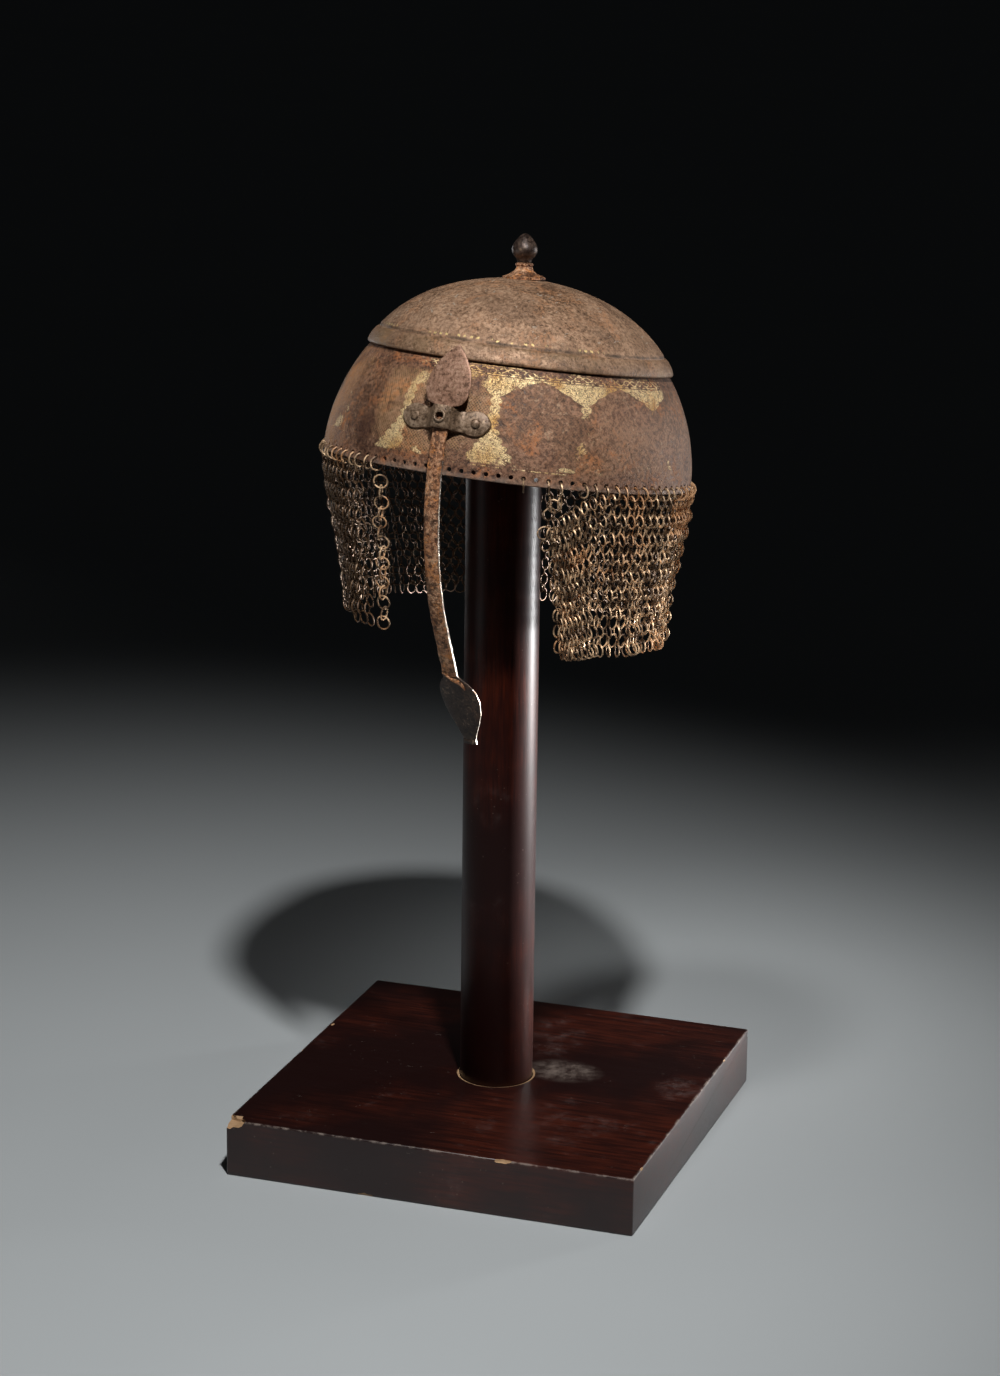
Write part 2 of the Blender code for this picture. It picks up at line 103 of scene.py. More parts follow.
# Shares of the finial: height and way in from the foot, then height and width of the bud
FLARE = ((0.12, 0.00), (0.30, 0.39), (0.47, 0.67), (0.65, 0.87), (0.82, 0.97), (1.00, 1.00))
BUD = (
    (0.00, 0.52),
    (0.12, 0.63),
    (0.24, 0.87),
    (0.35, 0.97),
    (0.47, 0.98),
    (0.59, 0.89),
    (0.71, 0.72),
    (0.82, 0.54),
    (0.90, 0.36),
    (0.95, 0.17),
    (0.975, 0.03),
)

# Shares of the hanging mail: down its length, of the rim's radius, of its span round the head
MAIL_FALL = (
    (0.00, 1.000, 1.000),
    (0.14, 0.992, 0.996),
    (0.30, 0.968, 0.988),
    (0.48, 0.932, 0.977),
    (0.66, 0.898, 0.966),
    (0.84, 0.876, 0.957),
    (1.00, 0.866, 0.952),
)

# Where gold is left: bearing and height above the rim, and how far it reaches, in degrees and mm
GOLD_LEFT = (
    (15.0, 33.0, 10.0, 31.0),
    (30.0, 56.0, 26.0, 5.0),
    (45.0, 52.0, 15.0, 12.0),
    (69.0, 54.0, 17.0, 10.0),
    (-12.0, 44.0, 5.0, 12.0),
    (-15.0, 33.0, 3.6, 12.0),
    (-20.0, 18.0, 7.0, 9.0),
    (-52.0, 19.0, 8.0, 5.0),
    (32.0, 10.0, 10.0, 3.0),
    (84.0, 17.0, 5.0, 4.0),
    (6.0, 60.0, 22.0, 4.5),
    (-4.0, 12.0, 6.0, 3.0),
)

# The smoother irons: dark, middle and light colour, and roughness
SMOOTH_IRONS = {
    "bud_iron": ((0.022, 0.015, 0.013), (0.050, 0.033, 0.027), (0.12, 0.080, 0.062), 0.34),
    "upper_leaf_iron": ((0.20, 0.105, 0.066), (0.37, 0.20, 0.128), (0.50, 0.30, 0.205), 0.45),
    "lower_leaf_iron": (
        (0.022, 0.013, 0.010),
        (0.040, 0.025, 0.019),
        (0.075, 0.048, 0.035),
        0.42,
    ),
    "bracket_iron": ((0.090, 0.055, 0.033), (0.215, 0.138, 0.085), (0.37, 0.26, 0.175), 0.42),
}


def length(label, what, metres):
    """A property in metres."""
    return FloatProperty(
        name=label, description=what, default=metres, unit="LENGTH", precision=5
    )


def turned_by(label, what, degrees):
    """A property that is an angle, given in degrees."""
    return FloatProperty(
        name=label, description=what, default=radians(degrees), unit="ROTATION"
    )


def number(label, what, count):
    """A property that counts something."""
    return IntProperty(name=label, description=what, default=count, min=1)


def colour(label, what, red, green, blue):
    """A property that is a colour, from 0 to 1."""
    return FloatVectorProperty(
        name=label,
        description=what,
        subtype="COLOR",
        default=(red, green, blue),
        min=0,
        max=1,
    )


class StandSizes(bpy.types.PropertyGroup):
    """Sizes and colours of the wooden stand."""

    edge: length("Edge", "Rounding of the base's edges", 0.0012)
    hole_play: length("Hole play", "Room round the post in its hole", 0.0004)
    hole_rim: length("Hole rim", "Width of the bare bevel round the hole", 0.0014)
    seat_play: length("Seat play", "Room between the post's top and the crown", 0.0007)
    lacquer: colour("Lacquer", "Colour of the lacquered wood", 0.013, 0.0024, 0.0018)
    glow: colour("Glow", "Colour where the lacquer is thin", 0.085, 0.013, 0.004)
    bare: colour("Bare wood", "Colour of the wood in a chip", 0.62, 0.40, 0.22)


class HelmetSizes(bpy.types.PropertyGroup):
    """Sizes of the bowl, the crown and the finial, and how the helmet stands."""

    rim_height: length("Rim height", "Middle of the rim above the floor", 0.4113)
    rim_shift: length("Rim shift", "Middle of the rim off the post", 0.0020)
    lean_back: turned_by("Lean back", "Lean of the helmet to the back", 9.0)
    lean_side: turned_by("Lean side", "Lean of the helmet to its left", 3.4)
    turn: turned_by("Turn", "Turn of the helmet on the post", -3.6)
    bowl_radius: length("Bowl radius", "Radius of the bowl's sphere", 0.1068)
    bowl_middle: length("Bowl middle", "Widest place above the rim", 0.0006)
    bowl_wall: length("Bowl wall", "Thickness of the bowl's plate", 0.0018)
    bowl_height: length("Bowl height", "Height of the bowl under the crown", 0.0700)
    hole_diameter: length("Hole", "Diameter of a hole for the mail", 0.0026)
    hole_pitch: length("Hole pitch", "Distance between the holes", 0.0070)
    hole_rise: length("Hole rise", "Height of the holes above the rim", 0.0038)
    crown_top: length("Crown top", "Top of the crown above the rim", 0.1093)
    crown_middle: length("Crown middle", "Middle of the crown's ellipse", 0.0431)
    crown_wall: length("Crown wall", "Thickness of the crown's plate", 0.0020)
    crown_foot: length("Crown foot", "Foot of the crown above the rim", 0.0636)
    lap_play: length("Lap play", "Room between the crown and the bowl", 0.0008)
    bead_height: length("Bead height", "Height of the crown's rolled foot", 0.0097)
    bead_bulge: length("Bead bulge", "How far the rolled foot stands out", 0.0022)
    bead_lip: length("Bead lip", "Thickness of the crown's lower lip", 0.0006)
    bead_groove: length("Groove", "Depth of the groove above the bead", 0.0008)
    groove_rise: length("Groove rise", "Height of the groove", 0.0016)
    socket_diameter: length("Socket", "Diameter of the finial's socket", 0.0250)
    socket_height: length("Socket height", "Height of the socket", 0.0070)
    neck_diameter: length("Neck", "Diameter of the finial's neck", 0.0090)
    neck_height: length("Neck height", "Height of the neck", 0.0022)
    bud_diameter: length("Bud", "Diameter of the bud", 0.0152)
    bud_height: length("Bud height", "Height of the bud", 0.0168)
    finial_shift: length("Finial shift", "Finial off the crown's middle", 0.0034)
    finial_bearing: turned_by("Finial bearing", "Side that it leans to", -67.6)
    finial_tilt: turned_by("Finial tilt", "How far the finial leans", 4.6)
    steps: number("Steps", "Steps round the bowl and the crown", 192)


class NasalSizes(bpy.types.PropertyGroup):
    """Sizes of the nasal bar, its leaves and its bracket."""

    rise: length("Rise", "Middle of the bracket above the rim", 0.0300)
    stand_off: length("Stand-off", "Bar's middle off the bowl", 0.0054)
    width: length("Width", "Width of the bar", 0.0094)
    thickness: length("Thickness", "Thickness of the bar", 0.0040)
    curve: length("Curve", "Radius of the bar's curve", 0.1724)
    curve_middle: length("Curve middle", "Middle of the curve above the rim", 0.0075)
    twist: turned_by("Twist", "Turn of the bar's plane", -5.6)
    curve_end: turned_by("Curve end", "Where the curve ends below its middle", 34.0)
    straight: length("Straight", "Straight run above the lower leaf", 0.0330)
    upper_length: length("Upper leaf length", "Length of the upper leaf", 0.0345)
    upper_width: length("Upper leaf width", "Width of the upper leaf", 0.0268)
    lower_length: length("Lower leaf length", "Length of the lower leaf", 0.0460)
    lower_width: length("Lower leaf width", "Width of the lower leaf", 0.0245)
    lower_aside: length("Lower leaf aside", "Set of the lower leaf", 0.0042)
    leaf_edge: length("Leaf edge", "Thickness of a leaf at its edge", 0.0014)
    leaf_keel: length("Leaf keel", "Thickness of a leaf at its keel", 0.0030)
    foot_length: length("Foot", "Length of the rolled foot", 0.0034)
    foot_thickness: length("Foot thickness", "Thickness of the rolled foot", 0.0034)
    staple_height: length("Staple height", "Height of the staple", 0.0116)
    staple_front: length("Staple front", "Width of the staple's front", 0.0090)
    staple_wall: length("Staple wall", "Thickness of the staple's front", 0.0019)
    staple_flare: length("Staple flare", "Reach of the staple's flanks", 0.0070)
    slot_play: length("Slot play", "Room round the bar", 0.00045)
    chamfer: length("Slot chamfer", "Chamfer in the slot's corners", 0.0009)
    fit: length("Fit", "Room between the bracket and the bowl", 0.0003)
    ear_length: length("Ear length", "Length of a bracket ear", 0.0147)
    ear_height: length("Ear height", "Height of a bracket ear", 0.0140)
    ear_thickness: length("Ear thickness", "Thickness of a bracket ear", 0.0020)
    screw_hole: length("Screw hole", "Diameter of the set screw's hole", 0.0044)
    rivet_spacing: length("Rivet spacing", "Distance between the rivets", 0.0364)
    rivet_diameter: length("Rivet", "Diameter of a rivet's head", 0.0054)
    rivet_head: length("Rivet head", "Height of a rivet's head", 0.0018)


class MailSizes(bpy.types.PropertyGroup):
    """Sizes of the rings and of the curtain that they make."""

    ring: length("Ring", "Outer diameter of a ring", 0.0086)
    wire: length("Wire", "Diameter of the wire", 0.00094)
    front_length: length("Front length", "Length of the mail at the face", 0.1020)
    back_length: length("Back length", "Length of the mail at the back", 0.0860)
    open_left: turned_by("Open left", "Bearing of the left free edge", 34.0)
    open_right: turned_by("Open right", "Bearing of the right free edge", 21.1)
    ripple: length("Ripple", "Depth of the ripples", 0.0022)
    ripples: number("Ripples", "Ripples round the head", 13)
    rows: number("Rows", "Rows of rings below the rim", 17)
    lean: turned_by("Ring lean", "Lean of each row of rings", 40.0)
    sides: number("Wire sides", "Sides of the wire", 5)
    steps: number("Ring steps", "Steps round a ring", 12)


class Socket:
    """One output of a node. Python's operators on it add Math nodes, so 1 - mask works too."""

    def __init__(self, finish, output):
        self.finish = finish
        self.output = output

    def math(self, operation, *values):
        return self.finish.math(operation, self, *values)

    def __add__(self, other):
        return self.math("ADD", other)

    def __radd__(self, other):
        return self.finish.math("ADD", other, self)

    def __sub__(self, other):
        return self.math("SUBTRACT", other)

    def __rsub__(self, other):
        return self.finish.math("SUBTRACT", other, self)

    def __mul__(self, other):
        return self.math("MULTIPLY", other)

    def __rmul__(self, other):
        return self.finish.math("MULTIPLY", other, self)

    def __truediv__(self, other):
        return self.math("DIVIDE", other)

    def __pow__(self, other):
        return self.math("POWER", other)

    def __neg__(self):
        return self.math("MULTIPLY", -1)

    def __abs__(self):
        return self.math("ABSOLUTE")

    def most(self, other):
        return self.math("MAXIMUM", other)

    def between(self, low, high):
        """0 at the low value and 1 at the high one, smooth between. The high one may be less."""
        span = {"data_type": "FLOAT", "interpolation_type": "SMOOTHSTEP"}
        ends = {"Value": self, "From Min": low, "From Max": high}
        return self.finish.node("ShaderNodeMapRange", span, ends)


class Finish:
    """A material being made. Apart from Math, every node comes from its node method."""

    def __init__(self, name, **constants):
        self.material = bpy.data.materials.new(name)
        self.material.use_nodes = True
        self.tree = self.material.node_tree
        self.shader = self.tree.nodes["Principled BSDF"]
        for key, value in constants.items():
            self.set(key.replace("_", " "), value)
        self.place = self.node("ShaderNodeTexCoord", output="Object")

    def set(self, key, value):
        """Give one of the shader's sockets a number, a colour or a link."""
        socket = self.shader.inputs[key]
        if isinstance(value, Socket):
            self.tree.links.new(value.output, socket)
        else:
            socket.default_value = value

    def node(self, kind, settings=None, inputs=None, output=0):
        """One node of a kind: its settings first, then the values or links of its sockets."""
        made = self.tree.nodes.new(kind)
        for key, value in (settings or {}).items():
            setattr(made, key, value)
        for key, value in (inputs or {}).items():
            if isinstance(value, Socket):
                self.tree.links.new(value.output, made.inputs[key])
            else:
                made.inputs[key].default_value = value
        return Socket(self, made.outputs[output])

    def math(self, operation, *values):
        inputs = dict(enumerate(values))
        return self.node("ShaderNodeMath", {"operation": operation}, inputs)

    def axes(self, vector):
        """X, Y and Z of a vector."""
        split = {"Vector": vector}
        return [self.node("ShaderNodeSeparateXYZ", None, split, axis) for axis in "XYZ"]

    def stretched(self, x, y, z):
        """The place on the piece, with each axis scaled."""
        inputs = {0: self.place, 1: (x, y, z)}
        return self.node("ShaderNodeVectorMath", {"operation": "MULTIPLY"}, inputs)

    def cloud(self, scale, detail=3.0, rough=0.55, vector=None, twist=0.0):
        """Noise of that many lumps a metre, around 0.5."""
        inputs = {
            "Vector": vector or self.place,
            "Scale": scale,
            "Detail": detail,
            "Roughness": rough,
            "Distortion": twist,
        }
        return self.node("ShaderNodeTexNoise", None, inputs)

    def cells(self, scale):
        """Distance to the nearest of scattered points, in lumps."""
        inputs = {"Vector": self.place, "Scale": scale}
        return self.node("ShaderNodeTexVoronoi", None, inputs)

    def blend(self, factor, first, second):
        """The first colour at 0 and the second at 1."""
        inputs = {0: factor}
        for slot, value in ((6, first), (7, second)):
            inputs[slot] = value if isinstance(value, Socket) else (*value, 1)
        return self.node("ShaderNodeMix", {"data_type": "RGBA"}, inputs, output=2)

    def relief(self, height, distance, strength):
        """Raise the surface by a height between 0 and 1, times a distance in metres."""
        inputs = {"Height": height, "Distance": distance, "Strength": strength}
        self.set("Normal", self.node("ShaderNodeBump", None, inputs))


def helmet_place(helmet):
    """From the helmet's own frame to the stand's."""
    return (
        Matrix.Translation((helmet.rim_shift, 0, helmet.rim_height))
        @ Matrix.Rotation(helmet.lean_side, 4, "Y")
        @ Matrix.Rotation(-helmet.lean_back, 4, "X")
        @ Matrix.Rotation(helmet.turn, 4, "Z")
    )


def spread(start, end, count):
    """Evenly spaced numbers, both ends among them."""
    return [start + (end - start) * i / (count - 1) for i in range(count)]


def ease(share):
    """0 to 1, slow at both ends, and flat outside them."""
    share = min(1, max(0, share))
    return share * share * (3 - 2 * share)


def along_table(table, share):
    """The other columns of a table at a share of its first one, on a smooth curve."""
    i = max(k for k, row in enumerate(table[:-1]) if row[0] <= share or k == 0)
    rows = [table[max(i - 1, 0)], table[i], table[i + 1], table[min(i + 2, len(table) - 1)]]
    t = (share - rows[1][0]) / (rows[2][0] - rows[1][0])
    values = []
    for before, low, high, after in list(zip(*rows))[1:]:
        curve = (
            low
            + (high - before) * t / 2
            + (before - 2.5 * low + 2 * high - after / 2) * t**2
            + (1.5 * (low - high) + (after - before) / 2) * t**3
        )
        values.append(curve)
    return values


def settle(obj, body, replaced=()):
    """Link an object, hang it on its body, and hide the parts of the frame that it replaces."""
    bpy.context.scene.collection.objects.link(obj)
    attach(obj, body)
    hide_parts(*replaced)


def smooth(mesh, sharp):
    """Shade a mesh smooth, apart from edges sharper than that many degrees."""
    mesh.shade_smooth()
    mesh.set_sharp_from_angle(angle=radians(sharp))


def piece(bm, name, finishes, place=None, sharp=38):
    """One object of a bmesh, set in place, shaded smooth with its sharp edges kept."""
    bmesh.ops.remove_doubles(bm, verts=bm.verts, dist=1e-6)
    bmesh.ops.recalc_face_normals(bm, faces=bm.faces)
    if place:
        bmesh.ops.transform(bm, matrix=place, verts=bm.verts)
    mesh = bpy.data.meshes.new(name)
    bm.to_mesh(mesh)
    bm.free()
    smooth(mesh, sharp)
    for finish in finishes:
        mesh.materials.append(finish)
    return bpy.data.objects.new(name, mesh)


def cut(obj, cutter, sharp=38):
    """Take a cutter out of an object for good. The cut keeps the cutter's material."""
    for each in (obj, cutter):
        bpy.context.scene.collection.objects.link(each)
    boolean = obj.modifiers.new("cut", "BOOLEAN")
    boolean.operation = "DIFFERENCE"
    boolean.material_mode = "TRANSFER"
    boolean.object = cutter
    graph = bpy.context.evaluated_depsgraph_get()
    mesh = bpy.data.meshes.new_from_object(obj.evaluated_get(graph))
    obj.modifiers.clear()
    obj.data = mesh
    smooth(mesh, sharp)
    bpy.data.objects.remove(cutter)
    bpy.context.scene.collection.objects.unlink(obj)
    return obj


def turned(profile, steps):
    """Spin (radius, height) points about Z. A closed profile repeats its first point."""
    bm = bmesh.new()
    closed = profile[0] == profile[-1]
    verts = [bm.verts.new((r, 0, z)) for r, z in (profile[:-1] if closed else profile)]
    ends = verts + verts[:1] if closed else verts
    edges = [bm.edges.new(pair) for pair in zip(ends, ends[1:])]
    bmesh.ops.spin(
        bm,
        geom=verts + edges,
        axis=(0, 0, 1),
        cent=(0, 0, 0),
        angle=2 * pi,
        steps=steps,
        use_merge=True,
    )
    bmesh.ops.remove_doubles(bm, verts=bm.verts, dist=1e-6)
    return bm


def drawn(sections):
    """Bridge closed rings of points, in order, and close both ends."""
    bm = bmesh.new()
    loops = []
    for points in sections:
        verts = [bm.verts.new(point) for point in points]
        loops.append([bm.edges.new(pair) for pair in zip(verts, verts[1:] + verts[:1])])
    for loop, following in zip(loops, loops[1:]):
        bmesh.ops.bridge_loops(bm, edges=loop + following)
    for end in (loops[0], loops[-1]):
        bmesh.ops.edgeloop_fill(bm, edges=end)
    return bm


def soften(bm, edges, width, segments):
    """Round some edges over."""
    bmesh.ops.bevel(
        bm,
        geom=edges,
        offset=width,
        segments=segments,
        profile=0.5,
        affect="EDGES",
        material=-1,
    )


def rod(bm, radius, start, end, sides):
    """Add a closed round bar between two points."""
    along = Vector(end) - Vector(start)
    turn = along.to_track_quat("Z", "Y").to_matrix().to_4x4()
    bmesh.ops.create_cone(
        bm,
        cap_ends=True,
        segments=sides,
        radius1=radius,
        radius2=radius,
        depth=along.length,
        matrix=Matrix.Translation((Vector(start) + Vector(end)) / 2) @ turn,
    )


def worn(bm, lump, depth, centre, seed):
    """Push every point along its line from a centre by gentle noise, in lumps of that size."""
    centre = Vector(centre)
    shift = Vector((seed, 2 * seed, 3 * seed))
    for vert in bm.verts:
        way = (vert.co - centre).normalized()
        vert.co += way * depth * noise.noise(vert.co / lump + shift)


def lacquered_wood(stand, name, grain, shine, coat):
    """Dark red-brown lacquer over grain, with dull rubbed patches, dust and thin glowing places."""
    finish = Finish(
        name, Specular_IOR_Level=shine, Coat_Weight=coat, Coat_Roughness=0.34, Coat_IOR=1.3
    )
    along = finish.stretched(*grain)
    fibre = finish.cloud(28, 6, 0.6, along)
    thin = finish.cloud(8, 4, 0.6).between(0.42, 0.68) * fibre.between(0.25, 0.75)
    base = finish.blend(thin, stand.lacquer, stand.glow)
    rubbed = finish.cloud(16, 5, 0.65).between(0.56, 0.76) * finish.cloud(160, 3).between(0.3, 0.7)
    base = finish.blend(rubbed * 0.16, base, (0.30, 0.27, 0.26))
    dust = finish.cells(200).between(0.12, 0.07) * finish.cloud(30, 2).between(0.50, 0.60)
    scratch_way = finish.stretched(3, 60, 60)
    scratch = finish.cloud(22, 4, 0.5, scratch_way).between(0.735, 0.75)
    x, y, z = finish.axes(finish.place)
    # A dusty ring just over the post's foot
    foot = z.between(0.0366, 0.0374) * z.between(0.0392, 0.0384)
    dust = dust * (0.2 + 0.8 * foot)
    base = finish.blend(foot * rubbed * 0.13, base, (0.34, 0.32, 0.32))
    # The pale bloom on the base beside the post; the base's four sides, a little paler as a painted
    # reflection of the floor, more so where the lacquer is rubbed; and their worn upper edge
    away = ((x - 0.037) * 36) ** 2 + ((y - 0.017) * 50) ** 2 + ((z - 0.035) * 60) ** 2
    bloom = away.between(1, 0.0) * finish.cloud(110, 6, 0.75).between(0.30, 0.75)
    side = abs(x).most(abs(y)).between(0.1233, 0.1248)
    # Painted reflection on the sides, paler still where rubbed wear adds to it
    base = finish.blend(side * (0.012 + 0.06 * rubbed), base, (0.50, 0.38, 0.36))
    edge = side * z.between(0.0334, 0.0347) * finish.cloud(120, 5, 0.7).between(0.45, 0.62)
    marks = dust.most(scratch * 0.6).most(bloom * 0.7).most(edge * 0.8)
    base = finish.blend(marks * 0.5, base, (0.55, 0.44, 0.37))
    finish.set("Base Color", base)
    finish.set("Roughness", 0.34 + 0.14 * fibre + 0.30 * rubbed + 0.3 * marks)
    ripple = finish.cloud(120, 3, 0.5, along) * 0.6 + finish.cloud(35, 2) * 0.8
    finish.relief(ripple + marks * 0.3, 0.00012, 0.7)
    return finish.material


def bare_wood(stand):
    """Pale wood where the lacquer has chipped off."""
    finish = Finish("bare_wood", Roughness=0.7)
    along = finish.stretched(1, 9, 9)
    fibre = finish.cloud(90, 5, 0.6, along)
    finish.set("Base Color", finish.blend(fibre, stand.bare, (0.34, 0.19, 0.09)))
    finish.relief(fibre, 0.0003, 0.8)
    return finish.material


def iron_ground(finish, dark, middle, light, rust, grit=0.3):
    """Mottled brown iron: its colour, its fine specks, its pits and its rust."""
    broad = finish.cloud(13, 4, 0.6, twist=0.4)
    mottle = finish.cloud(85, 5, 0.66, twist=0.6)
    speck = finish.cloud(470, 5, 0.78).between(0.34, 0.62)
    tone = broad * 0.8 + mottle * 0.62 + speck * 0.30 - 0.07
    ground = finish.blend(tone.between(0.58, 0.80), dark, middle)
    ground = finish.blend(tone.between(0.78, 1.02), ground, light)
    rusty = finish.cloud(34, 6, 0.72, twist=1.0).between(0.50, 0.65) * speck.between(0.2, 0.7)
    ground = finish.blend(rusty * 0.7, ground, rust)
    pale = finish.cloud(560, 3, 0.6).between(0.56, 0.66) * mottle.between(0.4, 0.6)
    ground = finish.blend(pale * 0.55, ground, (0.56, 0.38, 0.24))
    pits = finish.cells(360).between(0.26, 0.08) * finish.cloud(120, 3).between(0.42, 0.6)
    ground = finish.blend(pits * 0.6 + (1 - speck) * grit, ground, (0.020, 0.009, 0.005))
    return ground, speck, pits, rusty


def helmet_coordinates(finish, helmet):
    """Bearing in degrees and height above the rim in mm, on the leaning helmet."""
    place = helmet_place(helmet)
    inputs = {
        "Vector": finish.place,
        "Location": place.to_translation(),
        "Rotation": place.to_euler("XYZ"),
    }
    own = finish.node("ShaderNodeMapping", {"vector_type": "TEXTURE"}, inputs)
    x, y, z = finish.axes(own)
    bearing = finish.math("ARCTAN2", x, -y) * (180 / pi)
    return bearing, z * 1000


def gold_left(finish, bearing, height):
    """How much gold is left at a place, as a rough-edged mask."""
    patches = []
    for at, rise, wide, tall in GOLD_LEFT:
        away = (bearing - at) / wide
        up = (height - rise) / tall
        patches.append(1 - (away * away + up * up))
    left = reduce(Socket.most, patches)
    worn_through = finish.cloud(90, 5, 0.7) - 0.5
    fine = finish.cloud(900, 2, 0.6) - 0.5
    scattered = finish.cloud(18, 3, 0.6).between(0.58, 0.72) * 0.55 - 0.2
    return (left.most(scattered) + worn_through * 2.2 + fine * 0.9).between(0.05, 0.35)


def damascened_iron(helmet):
    """The bowl: brown iron with worn gold between scalloped medallions, and its keying.

    Heights are in mm above the rim, and bearings in degrees from the face.
    """
    finish = Finish("damascened_iron")
    ground, speck, pits, rusty = iron_ground(
        finish,
        (0.070, 0.028, 0.016),
        (0.190, 0.088, 0.047),
        (0.345, 0.180, 0.106),
        (0.48, 0.160, 0.042),
        0.4,
    )
    bearing, height = helmet_coordinates(finish, helmet)
    degree = 1.864  # mm along the rim
    wobble = finish.cloud(150, 4, 0.6) - 0.5
    aside = abs((bearing + wobble * 2.5 - 15).math("WRAP", 15, -15))
    upper = ((height - 44.5) / 13).most(0) ** 1.5 * 15
    lower = ((34 - height) / 24).most(0) ** 1.5 * 8
    scallop = abs((height * 0.75).math("SINE")) * 1.1
    half_width = upper.most(lower).most(0.8) + scallop
    field = (aside - half_width).between(0.25, -0.25)
    field = field * height.between(9, 10) * height.between(57.4, 56.8)
    borders = (8.2, 57.9, 62.4)
    lines = reduce(Socket.most, [abs(height - level).between(0.45, 0.2) for level in borders])
    vine = 60.1 + (bearing * 0.9).math("SINE") * 1.4
    leaf = 60.1 - (bearing * 0.9 + 0.7).math("SINE") * 1.1
    scroll = abs(height - vine).between(0.5, 0.2).most(abs(height - leaf).between(0.42, 0.15))
    band = scroll * height.between(57.9, 58.3) * height.between(62.4, 62.0)
    curls = finish.cloud(300, 2, 0.5, twist=3.0)
    figure = abs(curls - 0.5).between(0.02, 0.05) * finish.cloud(520, 4, 0.7).between(0.37, 0.46)
    gold = field * (0.04 + 0.96 * figure)
    gold = gold.most(lines.most(band) * speck.between(0.42, 0.58))
    gold = gold * gold_left(finish, bearing, height)
    across = bearing * degree
    stripes = [((across + height * way) * 3.3).math("SINE").between(0.3, 0.8) for way in (1, -1)]
    hatch = reduce(Socket.most, stripes)
    keyed = height.between(8, 13) * height.between(57, 54)
    keyed = keyed * bearing.between(-30, -24) * bearing.between(17, 13)
    keyed = keyed.most(0.2) * finish.cloud(42, 4, 0.6).between(0.38, 0.52) * hatch
    keyed = keyed * height.between(8, 10) * height.between(57, 56)
    ground = finish.blend(keyed * 0.38, ground, (0.62, 0.38, 0.16))
    worn_rim = height.between(4.5, 0.4) * (0.3 + 0.7 * finish.cloud(110, 4).between(0.35, 0.65))
    ground = finish.blend(worn_rim * 0.55, ground, (0.32, 0.25, 0.20))
    # Painted shadow: a dark patch on the bowl beside the nasal, on the wearer's right
    away = ((bearing + 27) / 13) ** 2 + ((height - 24) / 26) ** 2
    nasal_shadow = away.between(1.3, 0.3) * finish.cloud(45, 4, 0.6).between(0.3, 0.6)
    ground = finish.blend(nasal_shadow * 0.6 * (1 - keyed), ground, (0.045, 0.016, 0.009))
    # Painted light: the bowl's side on the wearer's right is made lighter and more orange, standing
    # in for light from that side
    glow = bearing.between(-36, -62) * bearing.between(-150, -120)
    glow = glow * finish.cloud(30, 4, 0.6).between(0.36, 0.58)
    ground = finish.blend(glow * 0.75 * (1 - nasal_shadow), ground, (0.62, 0.29, 0.105))
    tarnish = finish.cloud(55, 4).between(0.4, 0.7)
    leaf_gold = finish.blend(tarnish, (0.90, 0.68, 0.36), (0.60, 0.33, 0.10))
    finish.set("Base Color", finish.blend(gold, ground, leaf_gold))
    finish.set("Metallic", (0.18 - 0.2 * rusty - 0.2 * pits + 0.4 * gold).most(0))
    rough = 0.46 + 0.16 * speck + 0.12 * rusty - 0.12 * gold - 0.06 * worn_rim
    finish.set("Roughness", rough)
    height_map = speck * 0.5 + finish.cloud(230, 4, 0.6) * 0.8 - pits * 0.9 + gold * 0.25
    finish.relief(height_map - keyed * 0.3, 0.0003, 0.9)
    return finish.material


def crown_iron(helmet):
    """The crown: olive brown iron, polished on its rolled foot, with gold dots above it."""
    finish = Finish("crown_iron")
    ground, speck, pits, rusty = iron_ground(
        finish,
        (0.165, 0.090, 0.050),
        (0.380, 0.222, 0.130),
        (0.560, 0.350, 0.220),
        (0.44, 0.190, 0.075),
        0.24,
    )
    bearing, height = helmet_coordinates(finish, helmet)
    bead_top = (helmet.crown_foot + helmet.bead_height) * 1000
    stain = finish.cloud(12, 6, 0.68, twist=0.5).between(0.47, 0.60)
    ground = finish.blend(stain * 0.30, ground, (0.12, 0.070, 0.046))
    on_bead = height.between(bead_top + 0.6, bead_top - 0.6)
    bronze = finish.cloud(34, 4).between(0.42, 0.66) * on_bead
    ground = finish.blend(bronze * 0.55, ground, (0.23, 0.145, 0.07))
    # A dark band in the groove above the bead
    groove_dark = abs(height - (bead_top + 1.0)).between(1.3, 0.2)
    groove_dark = groove_dark * finish.cloud(70, 3).between(0.3, 0.6)
    ground = finish.blend(groove_dark * 0.7, ground, (0.03, 0.022, 0.014))
    row = abs(height - (bead_top + 2.6 + (bearing * 2.1).math("SINE") * 0.35))
    dashes = (bearing * 2.3).math("SINE").between(-0.2, 0.5)
    dots = row.between(0.75, 0.3) * dashes * finish.cloud(300, 2).between(0.42, 0.55)
    kept = bearing.between(-22, -14) * bearing.between(64, 48)
    kept = kept * finish.cloud(40, 2).between(0.38, 0.46)
    gold = dots * kept.most(finish.cloud(16, 2).between(0.6, 0.66))
    scratch_way = finish.stretched(34, 9, 60)
    scratch = finish.cloud(9, 4, 0.5, scratch_way).between(0.66, 0.685)
    scratch = scratch * height.between(76, 82)
    ground = finish.blend(scratch * 0.6, ground, (0.50, 0.42, 0.33))
    finish.set("Base Color", finish.blend(gold, ground, (0.83, 0.62, 0.27)))
    finish.set("Metallic", (0.3 - 0.25 * rusty - 0.2 * pits + 0.3 * gold).most(0))
    finish.set("Roughness", 0.46 + 0.16 * speck - 0.12 * on_bead - 0.1 * gold + 0.1 * rusty)
    height_map = speck * 0.5 + finish.cloud(210, 4, 0.6) * 0.8 - pits * 0.9 - scratch * 0.5
    finish.relief(height_map, 0.00028, 0.9)
    return finish.material


